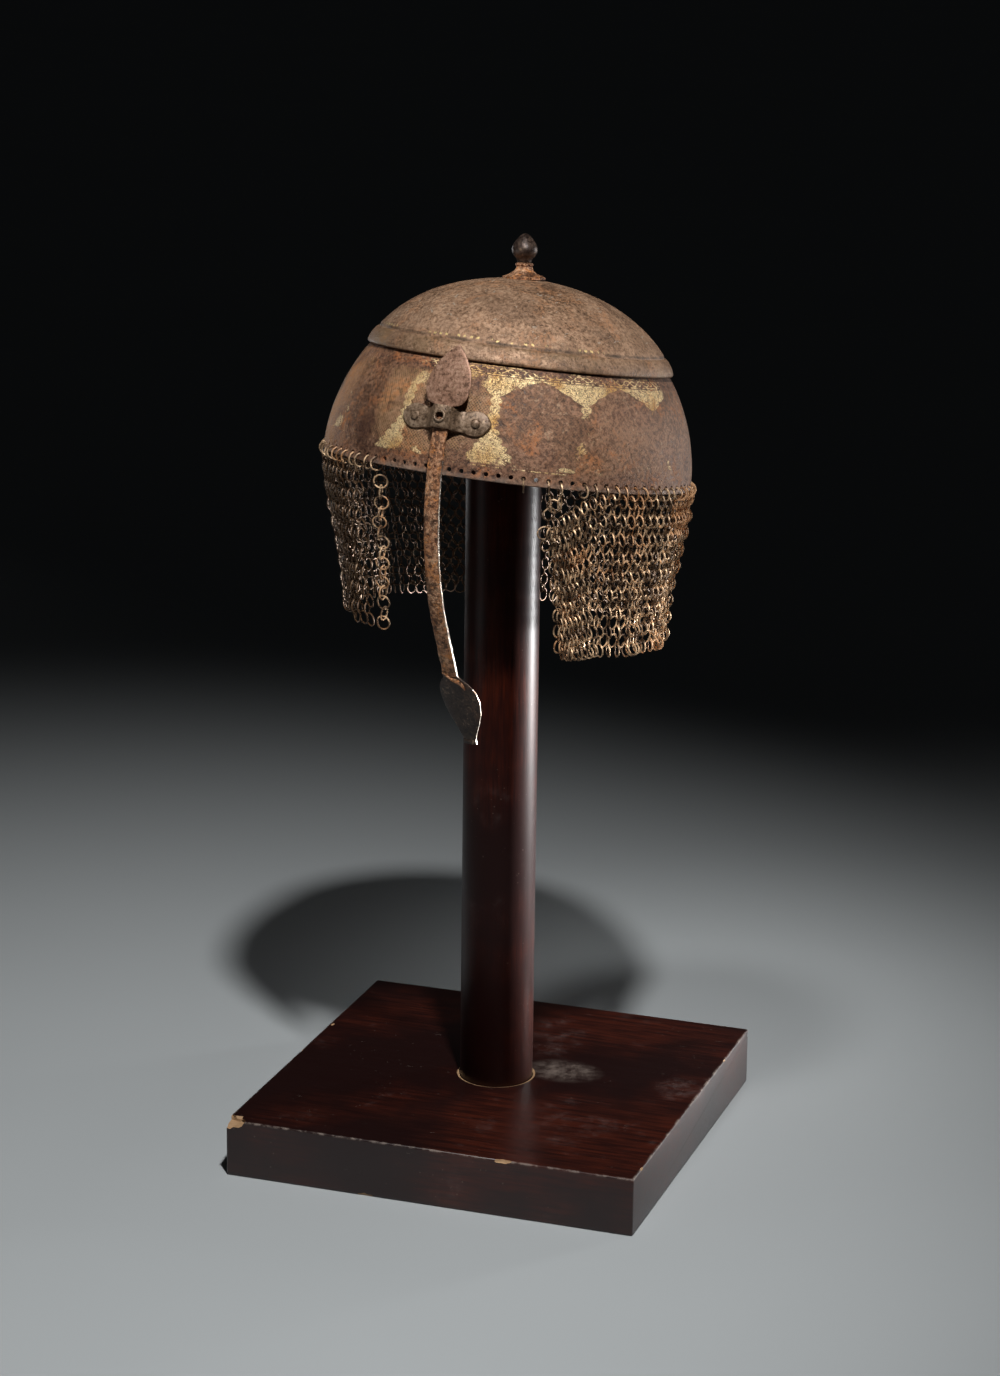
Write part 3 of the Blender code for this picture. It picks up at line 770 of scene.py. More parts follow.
def rusty_iron(name):
    """The bar and the socket: pitted, with brown and bright orange rust."""
    finish = Finish(name)
    ground, speck, pits, _ = iron_ground(
        finish,
        (0.125, 0.047, 0.022),
        (0.480, 0.215, 0.104),
        (0.860, 0.510, 0.300),
        (0.60, 0.22, 0.06),
    )
    orange = finish.cloud(150, 6, 0.75, twist=0.8).between(0.52, 0.62)
    ground = finish.blend(orange * 0.8, ground, (0.72, 0.27, 0.065))
    scab = finish.cloud(190, 4, 0.72).between(0.50, 0.58)
    ground = finish.blend(scab * 0.72, ground, (0.035, 0.015, 0.009))
    finish.set("Base Color", ground)
    finish.set("Metallic", (0.4 - 0.4 * orange - 0.2 * pits).most(0))
    finish.set("Roughness", 0.36 + 0.2 * speck + 0.2 * orange)
    finish.relief(speck * 0.6 + finish.cloud(320, 4) * 1.4 - pits * 1.2, 0.00042, 1)
    return finish.material


def lit_flank_iron():
    """Bright, smooth iron on the faces of the bar and the lower leaf that turn to the wearer's
    left, towards the side lights: a painted highlight on the lit flank.
    """
    finish = Finish("lit_flank_iron", Metallic=0.9)
    speck = finish.cloud(620, 4, 0.7).between(0.35, 0.65)
    stain = finish.cloud(150, 4, 0.7).between(0.50, 0.66)
    bright = finish.blend(speck, (0.66, 0.56, 0.46), (0.90, 0.82, 0.72))
    finish.set("Base Color", finish.blend(stain * 0.8, bright, (0.24, 0.12, 0.06)))
    finish.set("Roughness", 0.34 + 0.1 * speck + 0.2 * stain)
    finish.relief(speck * 0.5 + finish.cloud(320, 4), 0.0003, 0.8)
    return finish.material


def smooth_iron(name):
    """The leaves, the bracket and the bud, smoother than the bar."""
    finish = Finish(name)
    dark, middle, light, roughness = SMOOTH_IRONS[name]
    ground, speck, pits, rusty = iron_ground(finish, dark, middle, light, (0.14, 0.06, 0.03))
    finish.set("Base Color", ground)
    finish.set("Metallic", (0.4 - 0.3 * rusty - 0.2 * pits).most(0))
    finish.set("Roughness", roughness - 0.08 + 0.16 * speck + 0.1 * rusty)
    finish.relief(speck * 0.3 + finish.cloud(260, 4) * 0.6 - pits, 0.00018, 0.8)
    return finish.material


def mail_wire(name, painted_shade):
    """Brown iron wire, rubbed or rusty in places, with painted shade on the wearer's right and at
    the back.
    """
    finish = Finish(name)
    ring = finish.cloud(150, 2, 0.5)
    speck = finish.cloud(900, 2)
    patch = finish.cloud(22, 3).between(0.42, 0.62)
    ground = finish.blend(ring.between(0.38, 0.62), (0.11, 0.062, 0.032), (0.84, 0.57, 0.34))
    rust = (ring * 0.5 + patch * 0.5).between(0.5, 0.75)
    ground = finish.blend(rust * 0.5, ground, (0.58, 0.25, 0.085))
    x, y = finish.axes(finish.place)[:2]
    # Painted shade: darker on the wearer's right and at the back, where the lights reach less
    shaded_side = x.between(0.02, -0.05).most(y.between(0.02, 0.06))
    finish.set("Base Color", finish.blend(shaded_side * painted_shade, ground, (0.085, 0.042, 0.017)))
    finish.set("Metallic", 0.45 - 0.3 * rust)
    finish.set("Roughness", 0.40 + 0.14 * speck + 0.1 * rust)
    finish.relief(speck, 0.0001, 0.6)
    return finish.material


class KHUD_OT_stage(bpy.types.Operator):
    """Lay a plain pale floor, and set the lights and the camera"""

    bl_idname = "khud.stage"
    bl_label = "Stage"

    # Round lights: watts, cone in degrees, softness of its edge, radius, place and aim
    spots = {
        "key": (90, 51.4, 1, 0.05, (0.402, -0.781, 1.63), (-0.124, -0.171, 0)),
        "top": (70, 9.9, 1, 0.2, (-0.16, -0.62, 1.72), (0, -0.005, 0.49)),
        "low": (690, 12.1, 0.8, 0.1, (1.40, 1.05, 0.06), (0, 0, 0.19)),
    }
    # Soft panels: watts, beam in degrees, width and height, place and aim
    panels = {
        "edge": (1.3, 60, (0.2, 0.6), (1.25, 1.32, 0.34), (0, 0, 0.40)),
        "fill": (0.09, 36, (0.7, 0.5), (-1.3, -1.0, 0.28), (0, 0, 0.50)),
        "back": (0.10, 36, (0.7, 0.5), (-1.5, 1.2, 0.28), (0, 0, 0.48)),
    }

    def execute(self, context):
        bm = bmesh.new()
        bmesh.ops.create_grid(bm, x_segments=24, y_segments=24, size=14)
        finish = Finish("studio_floor", Roughness=0.75)
        paper = finish.cloud(3, 2)
        finish.set("Base Color", finish.blend(paper, (0.50, 0.53, 0.54), (0.54, 0.57, 0.58)))
        floor = piece(bm, "studio_floor", [finish.material])
        context.scene.collection.objects.link(floor)
        for name, values in self.spots.items():
            self.spot(name, *values)
        for name, values in self.panels.items():
            self.panel(name, *values)
        world = bpy.data.worlds.new("studio")
        world.use_nodes = True
        sky = world.node_tree.nodes["Background"].inputs
        sky["Color"].default_value = (0.9, 0.95, 1, 1)
        sky["Strength"].default_value = 0.005
        context.scene.world = world
        context.scene.view_settings.view_transform = "Standard"
        self.camera(context)
        return {"FINISHED"}

    def spot(self, name, watts, cone, blend, radius, at, towards):
        """One round light with a soft-edged cone."""
        spot = bpy.data.lights.new(name, "SPOT")
        spot.energy = watts
        spot.spot_size = radians(cone)
        spot.spot_blend = blend
        spot.shadow_soft_size = radius
        self.hang(spot, at, towards)

    def panel(self, name, watts, beam, size, at, towards):
        """One soft panel of light, whose grid keeps it to a beam."""
        panel = bpy.data.lights.new(name, "AREA")
        panel.energy = watts
        panel.spread = radians(beam)
        panel.shape = "RECTANGLE"
        panel.size, panel.size_y = size
        self.hang(panel, at, towards)

    def hang(self, light, at, towards):
        """Hang a light in the studio, aimed at a point."""
        lamp = bpy.data.objects.new(light.name, light)
        lamp.location = at
        aim = Vector(towards) - Vector(at)
        lamp.rotation_euler = aim.to_track_quat("-Z", "Y").to_euler()
        bpy.context.scene.collection.objects.link(lamp)

    def camera(self, context):
        """The photograph's own place and lens."""
        lens = bpy.data.cameras.new("camera")
        lens.sensor_fit = "VERTICAL"
        lens.sensor_height = 36
        lens.lens = 93.06
        view = bpy.data.objects.new("camera", lens)
        view.location = (0.6459, -1.9124, 0.8510)
        view.rotation_euler = [radians(a) for a in (74.1588, -0.6907, 18.8760)]
        context.scene.collection.objects.link(view)
        context.scene.camera = view


class KHUD_OT_base(bpy.types.Operator):
    """Saw the square base, chip its edges and bore the post's hole"""

    bl_idname = "khud.base"
    bl_label = "Base"

    # Chips in the lacquer: place on the base in shares of its half side and height, and size in mm
    chips = (
        (-1.0, -1.0, 1.0, (11.5, 8.5, 5.5)),
        (0.37, -1.0, 1.0, (5.2, 1.6, 1.8)),
        (-0.30, -1.0, 0.0, (4.4, 1.2, 1.6)),
        (-1.0, -0.06, 1.0, (1.3, 4.0, 1.5)),
        (-1.0, -0.20, 1.0, (0.9, 2.4, 0.9)),
        (-0.98, 0.32, 1.0, (0.8, 2.0, 0.8)),
        (1.0, -0.86, 1.0, (1.0, 2.6, 1.2)),
        (1.0, 0.55, 1.0, (0.8, 2.2, 0.9)),
        (1.0, 1.0, 0.9, (2.2, 2.4, 2.2)),
        (0.72, 1.0, 1.0, (3.0, 1.0, 1.2)),
        (-0.55, 1.0, 0.0, (2.6, 0.9, 1.1)),
    )

    def execute(self, context):
        stand = context.scene.khud_stand
        low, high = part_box("stand_base")
        lacquer = lacquered_wood(
            stand, "lacquered_wood", grain=(1, 14, 14), shine=0.45, coat=0.5
        )
        bare = bare_wood(stand)
        bm = bmesh.new()
        bmesh.ops.create_cube(bm, size=1)
        bmesh.ops.scale(bm, vec=high - low, verts=bm.verts)
        bmesh.ops.translate(bm, vec=(low + high) / 2, verts=bm.verts)
        soften(bm, bm.edges[:], stand.edge, 4)
        base = cut(piece(bm, "base", [lacquer]), self.chipped(low, high, bare))
        base = cut(base, self.bored(stand, high.z, bare))
        settle(base, HELMET_BODY, ["stand_base"])
        return {"FINISHED"}

    def chipped(self, low, high, bare):
        """Rough lumps that bite into the edges."""
        bm = bmesh.new()
        half = (high - low) / 2
        centre = (high + low) / 2
        for x, y, z, size in self.chips:
            spot = centre + Vector((x * half.x, y * half.y, (2 * z - 1) * half.z))
            reach = Matrix.Diagonal(Vector(size) / 1000).to_4x4()
            made = bmesh.ops.create_icosphere(
                bm, subdivisions=3, radius=1, matrix=Matrix.Translation(spot) @ reach
            )
            for vert in made["verts"]:
                out = vert.co - spot
                vert.co = spot + out * (1 + 0.35 * noise.noise(vert.co * 420))
        return piece(bm, "chips", [bare])

    def bored(self, stand, top, bare):
        """The post's blind hole, with a bare bevel at its mouth."""
        post_low, post_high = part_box("stand_post")
        radius = (post_high.x - post_low.x) / 2 + stand.hole_play
        rim = radius + stand.hole_rim
        floor = post_low.z - 2 * stand.hole_play
        profile = [
            (0, floor),
            (radius, floor),
            (radius, top - stand.hole_rim / 3),
            (rim, top - stand.hole_play / 8),
            (rim, 2 * top),
            (0, 2 * top),
        ]
        return piece(turned(profile, steps=96), "bore", [bare])


class KHUD_OT_post(bpy.types.Operator):
    """Turn the post, and shape its hidden top to the inside of the crown"""

    bl_idname = "khud.post"
    bl_label = "Post"

    def execute(self, context):
        stand, helmet = context.scene.khud_stand, context.scene.khud_helmet
        low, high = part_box("stand_post")
        radius = (high.x - low.x) / 2
        rows = spread(radius, 0, 5)
        profile = [(0, low.z), (radius, low.z), *[(r, high.z) for r in rows]]
        bm = turned(profile, steps=96)
        middle = (low.z + high.z) / 2
        for vert in bm.verts:
            if vert.co.z > middle:
                vert.co.z = self.under_crown(stand, helmet, vert.co)
        corners = [e for e in bm.edges if e.calc_face_angle(0) > radians(50)]
        soften(bm, corners, stand.edge / 2, 2)
        lacquer = lacquered_wood(
            stand, "lacquered_post", grain=(26, 26, 1.5), shine=0.06, coat=0.42
        )
        post = piece(bm, "post", [lacquer])
        settle(post, HELMET_BODY, ["stand_post"])
        return {"FINISHED"}

    def under_crown(self, stand, helmet, point):
        """Height of the crown's inside, less the play of its seat, above a point."""
        half_width, half_height = crown_axes(helmet, inner=True)
        half_width -= stand.seat_play
        half_height -= stand.seat_play
        own = helmet_place(helmet).inverted()
        scale = Vector((1 / half_width, 1 / half_width, 1 / half_height))
        middle = Vector((0, 0, helmet.crown_middle))
        start = (own @ Vector((point.x, point.y, 0)) - middle) * scale
        step = (own.to_3x3() @ Vector((0, 0, 1))) * scale
        a, b, c = step.dot(step), start.dot(step), start.dot(start) - 1
        return (-b + sqrt(b * b - a * c)) / a


def bowl_radius_at(helmet, rise):
    """Outer radius of the bowl at a height above the rim."""
    return sqrt(helmet.bowl_radius**2 - (rise - helmet.bowl_middle) ** 2)


def crown_axes(helmet, inner):
    """Half width and half height of the ellipse of the crown's inside or outside."""
    foot = bowl_radius_at(helmet, helmet.crown_foot) + helmet.lap_play
    foot += 0 if inner else helmet.crown_wall
    half_height = helmet.crown_top - helmet.crown_middle - (helmet.crown_wall if inner else 0)
    share = (helmet.crown_foot - helmet.crown_middle) / half_height
    return foot / sqrt(1 - share**2), half_height


def crown_points(helmet, axes, start, end, count):
    """(radius, height) points on one of the crown's ellipses, between two heights."""
    half_width, half_height = axes
    angles = [acos((h - helmet.crown_middle) / half_height) for h in (start, end)]
    return [
        (half_width * sin(a), helmet.crown_middle + half_height * cos(a))
        for a in spread(*angles, count)
    ]


class KHUD_OT_bowl(bpy.types.Operator):
    """Raise the bowl and punch the row of holes along its rim"""

    bl_idname = "khud.bowl"
    bl_label = "Bowl"

    def execute(self, context):
        helmet = context.scene.khud_helmet
        wall = helmet.bowl_wall
        inner = helmet.bowl_radius - wall
        lip = wall / 4
        heights = spread(lip, helmet.bowl_height, 26)
        outer_edge = [(bowl_radius_at(helmet, h), h) for h in heights]
        inner_edge = [
            (sqrt(inner**2 - (h - helmet.bowl_middle) ** 2), h) for h in reversed(heights)
        ]
        rim = [(inner + lip, 0), (helmet.bowl_radius - lip, 0)]
        profile = rim + outer_edge + inner_edge + rim[:1]
        bm = turned(profile[::-1], helmet.steps)
        centre = (0, 0, helmet.bowl_middle)
        worn(bm, lump=0.034, depth=0.00034, centre=centre, seed=3)
        worn(bm, lump=0.012, depth=0.00010, centre=centre, seed=5)
        iron = damascened_iron(helmet)
        bowl = cut(piece(bm, "bowl", [iron]), self.punches(helmet, inner, iron))
        bowl.data.transform(helmet_place(helmet))
        settle(bowl, HELMET_BODY, ["skull_bowl"])
        return {"FINISHED"}

    def punches(self, helmet, inner, iron):
        """Rods that stand through the wall in a ring."""
        bm = bmesh.new()
        count = hole_count(helmet)
        reach = Vector((0, -helmet.bowl_radius - helmet.bowl_wall, helmet.hole_rise))
        depth = Vector((0, -inner + helmet.bowl_wall, helmet.hole_rise))
        for i in range(count):
            turn = Matrix.Rotation(2 * pi * i / count, 3, "Z")
            rod(bm, helmet.hole_diameter / 2, turn @ depth, turn @ reach, sides=14)
        return piece(bm, "punch", [iron])


def hole_count(helmet):
    """Holes round the whole rim."""
    return round(2 * pi * helmet.bowl_radius / helmet.hole_pitch)


class KHUD_OT_crown(bpy.types.Operator):
    """Raise the crown, with its rolled foot lapping over the bowl"""

    bl_idname = "khud.crown"
    bl_label = "Crown"

    def execute(self, context):
        helmet = context.scene.khud_helmet
        inside = crown_points(
            helmet,
            crown_axes(helmet, inner=True),
            helmet.crown_top - helmet.crown_wall,
            helmet.crown_foot,
            24,
        )
        above = helmet.crown_foot + helmet.bead_height + helmet.groove_rise
        outside = crown_points(
            helmet, crown_axes(helmet, inner=False), above, helmet.crown_top, 30
        )
        profile = inside + self.bead(helmet) + outside
        profile[0], profile[-1] = (0, profile[0][1]), (0, profile[-1][1])
        bm = turned(profile, helmet.steps)
        centre = (0, 0, helmet.crown_middle)
        worn(bm, lump=0.040, depth=0.00040, centre=centre, seed=7)
        worn(bm, lump=0.013, depth=0.00010, centre=centre, seed=9)
        crown = piece(bm, "crown", [crown_iron(helmet)], helmet_place(helmet))
        settle(crown, HELMET_BODY, ["crown_cap"])
        return {"FINISHED"}

    def bead(self, helmet):
        """The rolled foot, as half an ellipse from the lip up to the groove above it."""
        top = helmet.crown_foot + helmet.bead_height
        low = bowl_radius_at(helmet, helmet.crown_foot) + helmet.lap_play + helmet.bead_lip
        outer = crown_axes(helmet, inner=False)
        high = crown_points(helmet, outer, top, helmet.crown_top, 2)[0][0] - helmet.bead_groove
        points = []
        for angle in spread(0, pi, 18):
            up = (1 - cos(angle)) / 2
            radius = low + (high - low) * up + helmet.bead_bulge * sin(angle) ** 0.8
            points.append((radius, helmet.crown_foot + helmet.bead_height * up))
        return points


class KHUD_OT_finial(bpy.types.Operator):
    """Make the flared socket on the crown and the bud that stands in it"""

    bl_idname = "khud.finial"
    bl_label = "Finial"

    def execute(self, context):
        helmet = context.scene.khud_helmet
        place = self.place(helmet)
        foot, neck = helmet.socket_diameter / 2, helmet.neck_diameter / 2
        half_width, half_height = crown_axes(helmet, inner=False)
        top_radius = half_width**2 / half_height
        gap = helmet.lap_play / 3
        seat = [(r, gap - r * r / (2 * top_radius)) for r in spread(0, foot, 6)]
        flare = []
        for up in spread(0.12, 1, 16):
            inward = along_table(FLARE, up)[0]
            flare.append((foot + (neck - foot) * inward, helmet.socket_height * up))
        top = helmet.socket_height + helmet.neck_height
        collar = [
            (neck + helmet.neck_height / 3, top - helmet.neck_height * 0.7),
            (neck + helmet.neck_height / 3, top - helmet.neck_height * 0.4),
            (neck, top - helmet.neck_height * 0.1),
            (neck * 0.8, top),
            (0, top),
        ]
        bm = turned(seat + flare + collar, steps=64)
        for vert in bm.verts:
            if vert.co.z > gap:
                lump = noise.noise(vert.co * 420) * 0.00035
                vert.co += Vector((vert.co.x, vert.co.y, 0)).normalized() * lump
        socket = piece(bm, "finial_socket_iron", [rusty_iron("socket_iron")], place)
        settle(socket, HELMET_BODY, ["finial_socket"])

        start = top + gap
        bud = [(0, start)]
        for up in spread(0, BUD[-1][0], 28):
            wide = along_table(BUD, up)[0]
            bud.append((helmet.bud_diameter / 2 * wide, start + helmet.bud_height * up))
        bud.append((0, start + helmet.bud_height * BUD[-1][0]))
        bm = turned(bud, steps=64)
        centre = (0, 0, start + helmet.bud_height / 2)
        worn(bm, lump=0.006, depth=0.00022, centre=centre, seed=2)
        made = piece(bm, "bud", [smooth_iron("bud_iron")], place)
        settle(made, HELMET_BODY, ["finial_bud"])
        return {"FINISHED"}

    def place(self, helmet):
        """Where the finial stands on the crown, bent the same way as it is shifted."""
        way = Vector((sin(helmet.finial_bearing), -cos(helmet.finial_bearing), 0))
        half_width, half_height = crown_axes(helmet, inner=False)
        lift = half_height * sqrt(1 - (helmet.finial_shift / half_width) ** 2)
        spot = way * helmet.finial_shift + Vector((0, 0, helmet.crown_middle + lift))
        bend = Matrix.Rotation(helmet.finial_tilt, 4, Vector((0, 0, 1)).cross(way))
        return helmet_place(helmet) @ Matrix.Translation(spot) @ bend


def bracket_slope(helmet, nasal):
    """Slope of the bowl's surface behind the bracket."""
    return asin((nasal.rise - helmet.bowl_middle) / helmet.bowl_radius)


def bar_angle(nasal):
    """Slope of the bar where it passes through the bracket."""
    return asin((nasal.rise - nasal.curve_middle) / nasal.curve)


def nasal_place(helmet, nasal):
    """From the bar's own frame, round the middle of its curve, to the stand's."""
    distance = bowl_radius_at(helmet, nasal.rise) + nasal.stand_off
    centre = nasal.curve * cos(bar_angle(nasal))
    return (
        helmet_place(helmet)
        @ Matrix.Translation((0, -distance, 0))
        @ Matrix.Rotation(nasal.twist, 4, "Z")
        @ Matrix.Translation((0, centre, nasal.curve_middle))
    )


class KHUD_OT_nasal(bpy.types.Operator):
    """Forge the nasal bar in one with its two leaves"""

    bl_idname = "khud.nasal"
    bl_label = "Nasal bar"

    # Numbers of the finishes, in their order on the piece; the first is the bright iron of the lit
    # flank, a painted highlight
    rubbed, bar_iron, upper_iron, lower_iron = range(4)
    # How square a section is, from 2 for an ellipse: a leaf's, the bar's and the foot's
    leaf_square, bar_square, foot_square = 5.0, 2.9, 3.5
    # How far to the left a face of the bar looks where it gets the bright iron of the lit flank, a
    # painted highlight
    lit_flank_facing = 0.82
    # The curl: how far across and down from the leaf's start, and its radius
    curl_path = (
        (-0.0040, -0.0022, 0.0006),
        (-0.0030, -0.0020, 0.0010),
        (-0.0012, -0.0008, 0.0012),
        (0.0010, 0.0010, 0.0012),
        (0.0034, 0.0020, 0.0013),
        (0.0058, 0.0030, 0.0012),
        (0.0078, 0.0052, 0.0010),
        (0.0088, 0.0074, 0.0005),
    )

    def execute(self, context):
        helmet, nasal = context.scene.khud_helmet, context.scene.khud_nasal
        leaf_angle = self.leaf_angle(helmet, nasal)
        bar = nasal.curve * (leaf_angle + nasal.curve_end) + nasal.straight
        leaf_start = nasal.upper_length + bar
        rows = self.rows(nasal, bar, leaf_start)
        bm = drawn([self.section(nasal, leaf_angle, row) for row in rows])
        self.paint(bm, nasal, leaf_angle, leaf_start)
        for vert in bm.verts:
            lump = noise.noise(vert.co * 160) * 0.00028 + noise.noise(vert.co * 520) * 0.00010
            vert.co += Vector((lump, lump / 2, 0))
        finishes = [
            lit_flank_iron(),
            rusty_iron("bar_iron"),
            smooth_iron("upper_leaf_iron"),
            smooth_iron("lower_leaf_iron"),
        ]
        made = piece(bm, "nasal", finishes, nasal_place(helmet, nasal), sharp=30)
        settle(made, NASAL_BODY, ["nasal_bar"])
        self.curl(helmet, nasal, leaf_angle, leaf_start, finishes[self.bar_iron])
        return {"FINISHED"}

    def curl(self, helmet, nasal, leaf_angle, leaf_start, iron):
        """The lip of metal that curls over the lower leaf's shoulder."""
        sections = []
        for across, down, radius in self.curl_path:
            point, outward = self.point(nasal, leaf_angle, leaf_start + down)
            along = Vector((0, -outward.z, outward.y))
            middle = point + outward * nasal.leaf_keel / 2 + Vector((across, 0, 0))
            ring = []
            for k in range(12):
                angle = 2 * pi * k / 12
                ring.append(middle + (outward * cos(angle) + along * sin(angle)) * radius)
            sections.append(ring)
        made = piece(drawn(sections), "nasal_curl", [iron], nasal_place(helmet, nasal))
        settle(made, NASAL_BODY)

    def leaf_angle(self, helmet, nasal):
        """Where the upper leaf rests on the staple's top."""
        slope = bracket_slope(helmet, nasal) + nasal.staple_height / 2 / helmet.bowl_radius
        reach = nasal.stand_off + nasal.leaf_keel / 2
        reach += nasal.width / 2 * sin(abs(nasal.twist))
        top = helmet.bowl_middle + (helmet.bowl_radius + reach) * sin(slope)
        return asin((top + 2 * nasal.fit - nasal.curve_middle) / nasal.curve)

    def rows(self, nasal, bar, leaf_start):
        """Rows of length down the bar, set aside, width, edge, middle, and squareness."""
        rows = []

        def leaf(start, long, wide_most, wide, aside):
            keel = nasal.leaf_edge + (nasal.leaf_keel - nasal.leaf_edge) * wide
            at = (start + long, aside * nasal.lower_aside, wide * wide_most)
            rows.append((*at, nasal.leaf_edge, keel, self.leaf_square))

        for share in spread(0, 0.985, 34):
            wide = along_table(UPPER_LEAF, share)[0]
            leaf(0, share * nasal.upper_length, nasal.upper_width, wide, 0)
        for share in spread(0.004, 0.996, 90):
            at, thick = nasal.upper_length + share * bar, nasal.thickness
            rows.append((at, 0, nasal.width, thick * 0.8, thick, self.bar_square))
        for share in spread(0.012, 1, 40):
            wide, aside = along_table(LOWER_LEAF, share)
            leaf(leaf_start, share * nasal.lower_length, nasal.lower_width, wide, aside)
        foot_width = LOWER_LEAF[-1][1] * nasal.lower_width
        for share in spread(0.15, 1, 7):
            thick = nasal.foot_thickness * sqrt(1 - (2 * share - 1) ** 4 * 0.9)
            at = leaf_start + nasal.lower_length + share * nasal.foot_length
            aside, edge = nasal.lower_aside, thick * 0.85
            rows.append((at, aside, foot_width, edge, thick, self.foot_square))
        return rows

    def point(self, nasal, leaf_angle, down):
        """Point and outward way of the bar's middle line, by length down from its upper tip."""
        angle = leaf_angle + (nasal.upper_length - down) / nasal.curve
        past = max(0, -nasal.curve_end - angle) * nasal.curve
        angle = max(angle, -nasal.curve_end)
        outward = Vector((0, -cos(angle), sin(angle)))
        along = Vector((0, -outward.z, outward.y))
        return outward * nasal.curve + along * past, outward

    def section(self, nasal, leaf_angle, row):
        """A closed ring of points: a rounded strip, thicker along its middle."""
        down, aside, width, edge, middle, square = row
        point, outward = self.point(nasal, leaf_angle, down)
        ring = []
        for k in range(24):
            angle = 2 * pi * (k + 0.5) / 24
            x = abs(cos(angle)) ** (2 / square) * (1 if cos(angle) > 0 else -1)
            y = abs(sin(angle)) ** (2 / square) * (1 if sin(angle) > 0 else -1)
            thick = edge + (middle - edge) * (1 - abs(x))
            ring.append(point + Vector((aside + x * width / 2, 0, 0)) + outward * y * thick / 2)
        return ring

    def paint(self, bm, nasal, leaf_angle, leaf_start):
        """Give the two leaves, and the left flank painted bright as a highlight, their own
        finishes.
        """
        upper = self.point(nasal, leaf_angle, nasal.upper_length)[0].z
        lower = self.point(nasal, leaf_angle, leaf_start)[0].z
        for face in bm.faces:
            face.normal_update()
            height = face.calc_center_median().z
            # Faces turned to the wearer's left, towards the side lights, get the bright iron: a
            # painted highlight
            if face.normal.x > self.lit_flank_facing and height < 0:
                face.material_index = self.rubbed
            elif height > upper:
                face.material_index = self.upper_iron
            else:
                face.material_index = self.lower_iron if height < lower else self.bar_iron


def bowl_surface(helmet, nasal, across, up, off):
    """Point near the bracket: across the face, up the bowl's curve, and off its surface."""
    latitude = bracket_slope(helmet, nasal) + up / helmet.bowl_radius
    radius = helmet.bowl_radius + off
    out = radius * cos(latitude)
    return Vector(
        (across, -sqrt(out**2 - across**2), helmet.bowl_middle + radius * sin(latitude))
    )


